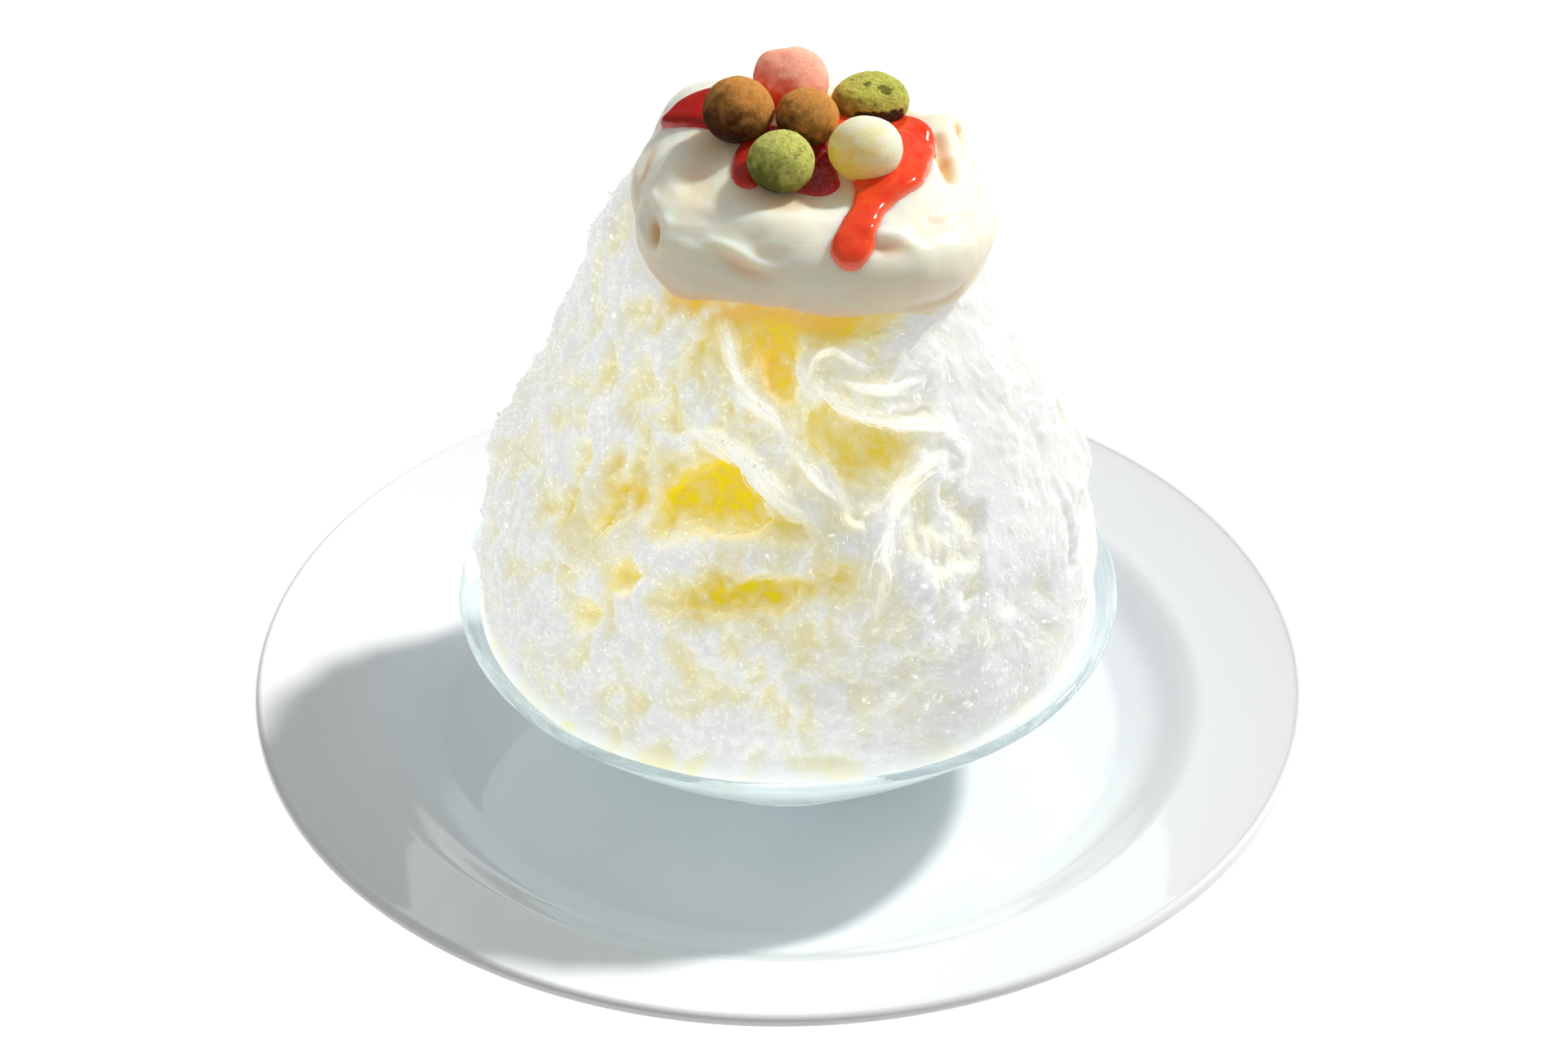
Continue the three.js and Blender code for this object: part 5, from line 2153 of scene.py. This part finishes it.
CREAM_FOLDS = [
    ((-17, 25, 184), 12, 6.5), ((9, -17, 182), 13, -4.6), ((23, 15, 182), 9, -3.6),
    ((-27, -20, 174), 10, 1.6), ((-10, -34, 170), 12, -1.6), ((16, -41, 161), 10, 1.4),
    ((36, -24, 172), 14, 2), ((40, 13, 178), 6, 4.5), ((38, 2, 180), 5, -3),
    ((26, -36, 153), 11, -2.6), ((-33, -6, 160), 9, -1.4), ((-22, -34, 158), 9, 1.6),
    ((50, -6, 160), 12, 1.8), ((10, 36, 168), 14, 2.4), ((-22, 30, 160), 10, -2),
    ((-27, 21, 180), 8, 2.6),
]
CREASES = [
    Crease(((37.6, 6, 178), (38.4, -2, 177.5), (39.9, -11, 176.8)), 1.5, -3.0),
    Crease(((35, 5, 178.5), (36, -3, 178.5), (37, -11, 178)), 1.5, 0.9),
    Crease(((41, 6, 177), (42, -3, 176.5), (42.5, -11, 175.5)), 2.0, 1.0),
    Crease(((41.5, 12, 178), (43, 11, 177), (44.5, 8, 176)), 1.6, -1.6),
    Crease(((-29.3, -22.5, 172.5), (-29.4, -26, 171), (-29, -28, 169.5)), 1.4, -2.6),
    Crease(((-32.7, -15, 172.6), (-29.7, -16.6, 175.7), (-26.4, -22, 175), (-26, -26.5, 173),
        (-28.5, -29.5, 168)), 1.5, 1.1),
    Crease(((-33, -17, 170), (-32.2, -23, 168.5), (-30, -27, 167)), 1.8, 0.7),
    Crease(((-16, -32, 173), (-11, -34.3, 172.5), (-5, -37.8, 170.3), (0, -38.5, 169.5)), 1.5, 1.6),
    Crease(((-14, -35, 170), (-9, -37, 168.5), (-3, -39.5, 167.5)), 1.8, -0.9),
    Crease(((19, -35.5, 173.6), (23.5, -36.2, 173), (28, -35, 172.2)), 1.5, -1.0),
    Crease(((19, -32.5, 175), (24, -33, 174.8), (29, -32.5, 174)), 1.8, 1.2),
    Crease(((10, -38, 170), (24, -38, 168.5), (37, -31, 168.5), (47, -19, 169)), 8.0, 3.0),
    Crease(((18, -40, 163), (30, -38, 163), (42, -28, 164)), 6.0, 1.6),
    Crease(((-17, -3, 181), (-18.5, -13, 180), (-20, -24, 178)), 4.6, -1.9),
    Crease(((-22, 1, 181), (-24.5, -7, 180), (-27, -15, 178)), 3.8, 1.7),
    Crease(((-31, 6, 177), (-33, -4, 175), (-34, -12, 172)), 2.6, -1.1),
    Crease(((-12, -26, 178), (-2, -30, 176.5), (12, -30.5, 177)), 4.6, 1.5),
    Crease(((-24, -30, 170), (-14, -37, 166), (0, -40, 163)), 3.4, 0.9),
    Crease(((-30, -26, 162), (-18, -36, 158), (-4, -41, 156), (14, -42, 155)), 3.2, -1.2),
    Crease(((-32, -20, 167), (-20, -34, 162), (-4, -41, 160.5)), 3.0, 0.9),
    Crease(((30, -36, 158), (42, -28, 158), (50, -16, 160)), 2.2, -1.0),
    Crease(((46, -10, 172), (47, 0, 172), (46, 9, 171)), 3.0, 0.9),
    Crease(((44, -20, 172), (38, -26, 173), (31, -30, 174.5)), 2.2, -0.9),
    Crease(((-24, 33, 175), (-8, 37, 177), (6, 38, 176)), 3.2, 1.3),
    Crease(((-26, 31, 170), (-8, 38, 169), (10, 40, 170)), 3.2, -1.5),
    Crease(((16, 38, 172), (30, 34, 171), (44, 25, 170)), 2.8, -1.5),
    Crease(((14, 36, 177), (29, 32, 176.5), (42, 24, 175)), 3.0, 1.2),
    Crease(((-40, 8, 168), (-39, 16, 170), (-36, 24, 172)), 2.6, -1.4),
    Crease(((-38, 2, 172), (-37, 10, 175), (-33, 18, 178)), 2.8, 1.2),
    Crease(((50, 10, 168), (49, 17, 166), (46, 24, 164)), 2.6, -1.3),
    Crease(((4, 30, 183), (10, 29, 183), (16, 26, 182)), 2.2, -1.6),
]


@dataclass
class Cream:
    """The dollop of whipped cream."""

    centre: tuple[float, float, float] = (7.2, -3.2, 163.5)
    half_size: tuple[float, float, float] = (42.5, 38.0, 19.0)
    fullness: float = 2.7
    squareness: float = 2.35
    lean: tuple[float, float] = (-0.03, 0.05)
    lump: float = 0.9
    lump_size: float = 6.0
    detail: int = 7

    def build(self) -> bpy.types.Mesh:
        """Makes the dollop, still in millimetres."""
        bm = bmesh.new()
        bmesh.ops.create_icosphere(bm, subdivisions=self.detail, radius=1.0)
        mesh = to_mesh(bm, "cream_dollop")
        direction = unit(points_of(mesh))
        across = np.hypot(direction[:, 0], direction[:, 1])
        power = self.squareness
        corner = (abs(direction[:, 0]) ** power + abs(direction[:, 1]) ** power) ** (1 / power)
        spread = np.where(corner > 1e-9, across / np.maximum(corner, 1e-9), 1.0)
        power = self.fullness
        size = (across**power + abs(direction[:, 2]) ** power) ** (1 / power)
        points = direction / size[:, None] * np.array(self.half_size)
        points[:, :2] *= spread[:, None]
        points[:, 2] += self.lean[0] * points[:, 0] + self.lean[1] * points[:, 1]
        points += np.array(self.centre)
        push = self.lump * ripple(points, self.lump_size)
        for place, reach, depth in CREAM_FOLDS:
            push += depth * falloff(np.linalg.norm(points - np.array(place), axis=1), reach)
        points += direction * push[:, None]
        move_points(mesh, points)
        bend = np.column_stack([wander(points, 14.0, seed) for seed in (145, 146, 147)])
        drawn = points + 3.0 * bend
        fine = 0.55 * fractal(drawn, (11.0, 11.0, 5.0), 151, 3)
        fine += 0.08 * fractal(points, 2.4, 161, 2)
        fine += 0.35 * (0.5 - 2.0 * np.abs(wander(drawn, (13.0, 13.0, 6.0), 165)))
        # Painted warm shade: the valleys of the creases are marked to darken.
        fold = np.zeros(len(points))
        for crease in CREASES:
            share = crease.share(points)
            fine += crease.push * share
            fold += np.clip(-crease.push * share * 1.1 / crease.reach, 0.0, 1.0)
        points += normals_of(mesh) * fine[:, None]
        move_points(mesh, points)
        # Painted shade on the cream's underside, and painted contact shadow on the cream near the
        # balls.
        under = 1.0 - smoothstep(normals_of(mesh)[:, 2], -0.4, 0.8)
        gaps = [
            np.linalg.norm(points - ball.at, axis=1) - ball.half[0] for ball in chocolate_balls()
        ]
        away = np.min(gaps, axis=0)
        close = 0.9 * (1.0 - smoothstep(away, 0.0, 8.5))
        mark_points(mesh, "fold", np.clip(fold + 0.3 * under + close, 0.0, 1.0))
        return mesh


# Chocolate balls -------------------------------------------------------------------------------

BALL_SIZE = 8.0  # a ball's usual radius, which brings directions to millimetres


@dataclass(frozen=True)
class Dent:
    """A push on a ball, by the direction where it lies, its reach as a share and its depth."""

    towards: tuple[float, float, float]
    reach: float
    push: float


@dataclass
class Ball:
    """A dusted chocolate ball."""

    name: str
    at: tuple[float, float, float]
    half: tuple[float, float, float]
    lump: float
    finish: PowderFinish
    slot: str
    dents: list[Dent] = field(default_factory=list)
    wet: list[Dent] = field(default_factory=list)
    # Thin spots where the under colour shows; the wide spot on the lower left of each ball is
    # painted shade.
    bare: list[Dent] = field(default_factory=list)
    crust: float = 0.05  # depth of the coarse powder
    lump_size: float = 0.4
    seed: int = 0

    def spread(
        self, direction: np.ndarray, spots: list[Dent], ragged: float, crisp: float
    ) -> np.ndarray:
        """How much of each place lies in ragged spots.

        Args:
            direction: directions from the ball's middle.
            spots: the spots.
            ragged: how ragged their edge is.
            crisp: how crisp their edge is, where 1 is a clean cut.

        Returns:
            Shares from 0 to 1.
        """
        covered = np.zeros(len(direction))
        edge = ragged * fractal(direction * BALL_SIZE, 1.7, 191 + self.seed, 3)
        for spot in spots:
            away = np.linalg.norm(direction - unit(np.array([spot.towards])), axis=1) + edge
            near = 1.0 - smoothstep(away, spot.reach * crisp, spot.reach)
            covered = np.maximum(covered, spot.push * near)
        return covered

    def build(self) -> tuple[bpy.types.Object, BVHTree]:
        """Makes and dresses the ball, and returns it with its search tree in millimetres."""
        bm = bmesh.new()
        bmesh.ops.create_icosphere(bm, subdivisions=6, radius=1.0)
        mesh = to_mesh(bm, "dusted_" + self.name)
        direction = unit(points_of(mesh))
        uneven = self.lump * ripple(direction + np.array(self.at), self.lump_size)
        uneven += 0.14 * fractal(direction * BALL_SIZE, 2.4, 171 + self.seed, 2)
        uneven += self.crust * fractal(direction * BALL_SIZE, 0.62, 181 + self.seed, 2)
        for dent in self.dents:
            away = np.linalg.norm(direction - unit(np.array([dent.towards])), axis=1)
            uneven += dent.push * falloff(away, dent.reach)
        wet = self.spread(direction, self.wet, 0.16, 0.88)
        uneven -= 0.16 * wet
        points = direction * (np.array(self.half) + uneven[:, None]) + np.array(self.at)
        move_points(mesh, points)
        mark_points(mesh, "wet", wet)
        # The bare mark holds real thin spots and the painted shade on the lower left.
        mark_points(mesh, "bare", self.spread(direction, self.bare, 0.42, 0.35))
        tree = tree_of(mesh)
        return piece(mesh, self.finish.build(), ["ball_" + self.name]), tree


def chocolate_balls() -> list[Ball]:
    """The six balls on the cream."""
    pink = PowderFinish(
        "strawberry_powder", (1.0, 0.47, 0.335), (0.66, 0.06, 0.02),
        0.45, 0.10, 0.18, 0.0, 2.4, 0.8, 0.2,
    )
    cocoa = PowderFinish(
        "cocoa_powder", (0.98, 0.42, 0.10), (0.085, 0.022, 0.003), 0.42, 0.12, 0.70, 0.02
    )
    back = PowderFinish(
        "green_tea_powder_back", (0.78, 0.78, 0.15), (0.15, 0.11, 0.006), 0.62, 0.17, 0.9, 0.05
    )
    front = PowderFinish(
        "green_tea_powder", (0.94, 0.97, 0.23), (0.14, 0.15, 0.012), 0.46, 0.19, 0.8, 0.05
    )
    white = PowderFinish(
        "white_powder", (1.0, 0.955, 0.745), (1.0, 0.68, 0.11),
        0.42, 0.06, 0.35, 0.0, 4.0, 1.0, 0.1,
    )
    return [
        Ball("pink", (2.7, 14, 188.6), (9, 8.8, 8.4), 0.5, pink, "strawberry_powder", [
            Dent((-0.6, 0.0, 0.80), 0.52, 1.5), Dent((-0.25, -0.32, 0.92), 0.26, -0.8),
            Dent((-0.55, -0.58, 0.61), 0.24, -0.6), Dent((-0.28, 0.39, 0.87), 0.24, -1.0),
            Dent((0.3, -0.3, 0.9), 0.6, 0.5),
        ], wet=[Dent((-0.1, -0.4, -0.92), 0.72, 0.8)],
             bare=[Dent((-0.60, -0.48, -0.64), 1.85, 1.0)], seed=1),
        Ball("green_back", (21.6, 14.2, 183.8), (9.2, 8.4, 6.7), 0.5, back, "green_tea_powder", [
            Dent((0.1, -0.3, 0.95), 0.6, -0.5),
        ], wet=[
            Dent((0.0, -0.90, -0.42), 0.74, 1.0), Dent((0.55, -0.72, -0.36), 0.52, 1.0),
            Dent((-0.06, -0.30, 0.95), 0.13, 0.7), Dent((0.40, -0.44, 0.80), 0.22, 0.75),
        ], bare=[Dent((-0.60, -0.50, -0.62), 1.45, 0.9)], crust=0.16, seed=2),
        Ball("cocoa_left", (-9.8, 0, 189.4), (8.3, 8.3, 7.9), 0.3, cocoa, "cocoa_powder",
             wet=[Dent((-0.15, -0.35, -0.92), 0.80, 0.9)],
             bare=[Dent((-0.55, -0.55, -0.63), 1.9, 1.0)], seed=3),
        Ball("cocoa_middle", (6.6, -2.4, 188.7), (7.3, 7.2, 7.1), 0.3, cocoa, "cocoa_powder",
             wet=[Dent((-0.3, -0.3, -0.9), 0.80, 0.9)],
             bare=[Dent((-0.55, -0.50, -0.67), 1.8, 0.95)], seed=4),
        Ball("green_front", (0.2, -15.5, 184.6), (8, 7.6, 7.3), 0.3, front, "green_tea_powder",
             wet=[Dent((-0.3, -0.3, -0.9), 0.62, 0.8)],
             bare=[Dent((-0.1, -0.85, 0.5), 0.34, 0.4), Dent((-0.50, -0.50, -0.71), 1.7, 0.95)],
             crust=0.08, seed=5),
        Ball("white", (20.2, -10.6, 185.1), (8.9, 8, 7.9), 0.3, white, "white_powder", [
            Dent((0.7, -0.6, -0.3), 0.5, 0.35),
        ], bare=[
            Dent((-0.86, -0.42, -0.05), 0.66, 1.0), Dent((-0.45, -0.75, -0.45), 0.74, 1.1),
            Dent((0.25, -0.75, -0.6), 0.5, 0.8), Dent((-0.68, -0.45, -0.58), 2.0, 0.85),
        ], seed=6),
    ]


# Red sauce -------------------------------------------------------------------------------------


@dataclass(frozen=True)
class Puddle:
    """A run of sauce: its outline seen from above, its depth, its share of painted shade and how
    frosted it is.
    """

    outline: Outline
    deep: float
    tone: float
    frost: float = 0.0


def rounded(outline: Outline) -> np.ndarray:
    """Rounds an outline's corners by cutting them twice."""
    corners = np.array(outline, float)
    for _ in range(2):
        after = np.roll(corners, -1, axis=0)
        cuts = [0.75 * corners + 0.25 * after, 0.25 * corners + 0.75 * after]
        corners = np.stack(cuts, axis=1).reshape(-1, 2)
    return corners


# The third number of each run is its share of painted shade, high for the runs that lie in the
# balls' shade.
SAUCE_PUDDLES = [
    Puddle([(-8, 20), (-16.4, 18.4), (-20.3, 17.6), (-24, 16.4), (-27, 14.4), (-28.6, 12.2),
        (-27.6, 10.8), (-24.3, 8.4), (-20.1, 6.0), (-16.4, 4.1), (-11, 2), (-6, 12)], 2.2, 0.9),
    Puddle([(-4, 4), (-6.3, -1.4), (-8.7, -3.3), (-10.7, -7.6), (-11.5, -12.3), (-10.9, -16.5),
        (-8.9, -18.6), (-6.2, -18.8), (-4, -15.2), (-1, -8), (4, 0)], 1.7, 0.85, 0.1),
    Puddle([(-3, 2), (4.9, 1), (12, 0), (14, -6), (13.4, -11), (14.6, -14.6), (12.5, -17),
        (9.6, -18), (6.1, -18.3), (3.2, -17.6), (-1, -12), (-5, -6)], 1.6, 1.0, 0.45),
    Puddle([(4, 10), (14.6, 16.5), (19.4, 18), (25.5, 17.4), (30.8, 14.6), (34.6, 9.9), (36.6, 6.6),
        (37.1, 2.6), (36.4, -5.8), (34.4, -14.4), (30.8, -20), (26.3, -24.3), (24, -28.7),
        (22.6, -34), (21.4, -38.2), (19.2, -41), (15.8, -41.8), (12.9, -40.7), (11.6, -38),
        (12.9, -33.4), (15.8, -27.2), (17.8, -21.7), (17, -14), (14, -4), (6, 2)], 2.0, 0.12),
]


@dataclass
class Sauce:
    """The red sauce that has run over the cream and gathered round the balls."""

    cream: bpy.types.Mesh
    balls: list[BVHTree]
    puddles: list[Puddle] = field(default_factory=lambda: SAUCE_PUDDLES)
    shoulder: float = 2.8  # how far in from its edge the sauce reaches its full depth
    sunk: float = 1.0  # how far its underside lies under the cream's surface
    margin: float = 1.1  # how far past its outline its skin goes
    lowest: float = 168.0  # the cream is bare below this height

    def spread(self, points: np.ndarray) -> dict[str, np.ndarray]:
        """Works out how the sauce lies.

        Args:
            points: places on the cream.

        Returns:
            Its depth, the distance in from its edge, its share of painted shade and its frost at
            each place.
        """
        inward = np.full(len(points), -9.0)
        found = {name: np.zeros(len(points)) for name in ("deep", "tone", "frost")}
        edge = 0.35 * wander(points, 5.0, 211)
        weight = np.full(len(points), 1e-6)
        for puddle in self.puddles:
            depth = inside_distance(points[:, :2], rounded(puddle.outline)) + edge
            share = smoothstep(depth, -1.5, 3.0)
            weight += share
            for name in found:
                found[name] += share * getattr(puddle, name)
            inward = np.maximum(inward, depth)
        found = {name: values / weight for name, values in found.items()}
        found["inward"] = inward
        return found

    def build(self) -> bpy.types.Object:
        """Makes and dresses the sauce as a closed skin over the cream."""
        bm = bmesh.new()
        bm.from_mesh(self.cream)
        flat = points_of(self.cream)
        outside = (self.spread(flat)["inward"] < -self.margin) | (flat[:, 2] < self.lowest)
        bm.verts.ensure_lookup_table()
        dry = [bm.verts[number] for number in np.flatnonzero(outside)]
        bmesh.ops.delete(bm, geom=dry, context="VERTS")
        bmesh.ops.subdivide_edges(bm, edges=bm.edges[:], cuts=1, use_grid_fill=True, smooth=0.0)
        bmesh.ops.triangulate(bm, faces=bm.faces[:])
        mesh = to_mesh(bm, "red_sauce_run")
        points, normals = points_of(mesh), normals_of(mesh)
        found = self.spread(points)
        inward = found["inward"]
        share = np.clip(inward / self.shoulder, 0.0, 1.0)
        level = found["deep"] * np.sqrt(np.clip(1.0 - (1.0 - share) ** 2.2, 0.0, 1.0))
        near = np.array([
            min(tree.find_nearest(Vector(place))[3] for tree in self.balls) for place in points
        ])
        level += 0.9 * np.exp(-near / 0.9) * smoothstep(inward, 0.0, 1.2)
        lift = np.where(inward > 0.0, level, np.maximum(inward * 1.2, -0.55)) + 0.03
        outer = smoothstep(points[:, 0] + 0.4 * points[:, 1], 12.0, 18.0)
        frost = found["frost"] + 0.4 * (1.0 - smoothstep(inward, 0.2, 1.0)) * outer
        mark_points(mesh, "depth", np.clip(lift / 2.1, 0.0, 1.0))
        mark_points(mesh, "tone", np.clip(found["tone"], 0.0, 1.0))
        mark_points(mesh, "frost", np.clip(frost, 0.0, 1.0))
        bm = bmesh.new()
        bm.from_mesh(mesh)
        bpy.data.meshes.remove(mesh)
        upper = bm.verts[:]
        under = bmesh.ops.extrude_face_region(bm, geom=bm.faces[:], use_keep_orig=True)["geom"]
        for item in under:
            if isinstance(item, bmesh.types.BMVert):
                item.co.z -= self.sunk
        for vert, normal, rise in zip(upper, normals, lift):
            vert.co += Vector(normal) * rise
        bmesh.ops.recalc_face_normals(bm, faces=bm.faces)
        return piece(to_mesh(bm, "red_sauce_run"), SauceFinish().build())


# Studio ----------------------------------------------------------------------------------------


@dataclass
class Studio:
    """The floor, the lights and the camera."""

    camera_place: tuple[float, float, float] = (1.0, -916.1, 733.2)
    camera_tilt: float = 53.95
    lens: float = 103.1
    light_from: tuple[float, float, float] = (0.596, 0.400, 0.696)
    light_power: float = 3.1
    light_angle: float = 5.5
    fill: tuple[float, float] = (0.03, 0.48)  # the surroundings' light, low down and overhead
    mirrored: float = 0.24  # how bright the surroundings are in a gloss
    floor_size: float = 12.0

    def build_floor(self) -> None:
        """Lays the floor."""
        bm = bmesh.new()
        bmesh.ops.create_grid(bm, x_segments=1, y_segments=1, size=self.floor_size)
        mesh = to_mesh(bm, "studio_floor")
        points = points_of(mesh)
        points[:, 2] = -0.1 * MM
        move_points(mesh, points)
        mesh.materials.append(FloorFinish().build())
        floor = bpy.data.objects.new("studio_floor", mesh)
        bpy.context.scene.collection.objects.link(floor)

    def build_lights(self) -> None:
        """Makes the key light and the soft white surroundings."""
        sun = bpy.data.lights.new("key_light", "SUN")
        sun.energy = self.light_power
        sun.angle = math.radians(self.light_angle)
        sun.color = (1.0, 0.985, 0.96)
        lamp = bpy.data.objects.new("key_light", sun)
        lamp.rotation_mode = "QUATERNION"
        lamp.rotation_quaternion = Vector(self.light_from).to_track_quat("Z", "Y")
        bpy.context.scene.collection.objects.link(lamp)
        world = bpy.data.worlds.new("studio_white")
        world.use_nodes = True
        bpy.context.scene.world = world
        board = Board(world.node_tree)
        back = world.node_tree.nodes["Background"]
        rays = board.add("LightPath").outputs
        seen = board.math("MAXIMUM", rays["Is Camera Ray"], rays["Is Transmission Ray"])
        direction = board.add("TexCoord").outputs["Generated"]
        up = board.add("SeparateXYZ", {0: direction}).outputs[2]
        soft = board.range(up, -0.05, 0.9, *self.fill)
        glossy = {0: rays["Is Glossy Ray"], 2: soft, 3: self.mirrored}
        mirrored = board.add("Mix", glossy, data_type="FLOAT").outputs[0]
        strength = board.add("Mix", {0: seen, 2: mirrored, 3: 1.0}, data_type="FLOAT").outputs[0]
        board.tree.links.new(strength, back.inputs["Strength"])
        back.inputs["Color"].default_value = (0.97, 0.985, 1.0, 1.0)

    def build_camera(self) -> None:
        """Places the camera."""
        lens = bpy.data.cameras.new("camera")
        lens.lens = self.lens
        lens.sensor_width = 36.0
        lens.clip_start = 0.01
        lens.clip_end = 100.0
        camera = bpy.data.objects.new("camera", lens)
        camera.location = Vector(self.camera_place) * MM
        camera.rotation_euler = (math.radians(self.camera_tilt), 0.0, 0.0)
        bpy.context.scene.collection.objects.link(camera)
        bpy.context.scene.camera = camera

    def build(self) -> None:
        """Makes the studio."""
        self.build_floor()
        self.build_lights()
        self.build_camera()
        bpy.context.scene.view_settings.view_transform = "Standard"


def main() -> None:
    """Builds the kakigori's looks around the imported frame."""
    logging.basicConfig(level=logging.INFO, format="%(message)s")
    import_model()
    Studio().build()
    Plate().build()
    bowl = GlassBowl()
    bowl.build()
    cream = Cream().build()
    heap = IceHeap(bowl, tree_of(cream))
    core = heap.build_core()
    veils, edge_hairs, edge_grains = VeilSet(heap).build()
    loose = LooseIce(heap, core)
    grains = loose.build_grains(edge_grains)
    needles = loose.build_needles(edge_hairs)
    flakes = loose.build_flakes()
    strands = VeilSet(heap).build_strands()
    core_ice = IceFinish("shaved_ice", 0.45, 0.09, 0.6, 4.5, 0.50, 0.18)
    veil_ice = IceFinish("ice_veil", 0.8, 0.05, 0.55, 2.0, 0.52, 0.12, dim=0.97, sheer=True)
    piece(core, core_ice.build(), ["shaved_ice"])
    piece(veils, veil_ice.build())
    strand_ice = IceFinish("ice_strand", 1.2, 0.05, 0.4, 1.2, 0.52, dim=0.97)
    piece(strands, strand_ice.build())
    for mesh in (grains, needles, flakes):
        loose_ice = IceFinish(mesh.name[:-1], 1.2, 0.05, 0.5, 1.2, 0.46, dim=0.91)
        piece(mesh, loose_ice.build())
    trees = [ball.build()[1] for ball in chocolate_balls()]
    Sauce(cream, trees).build()
    piece(cream, CreamFinish().build(), ["whipped_cream"])


if __name__ == "__main__":
    main()
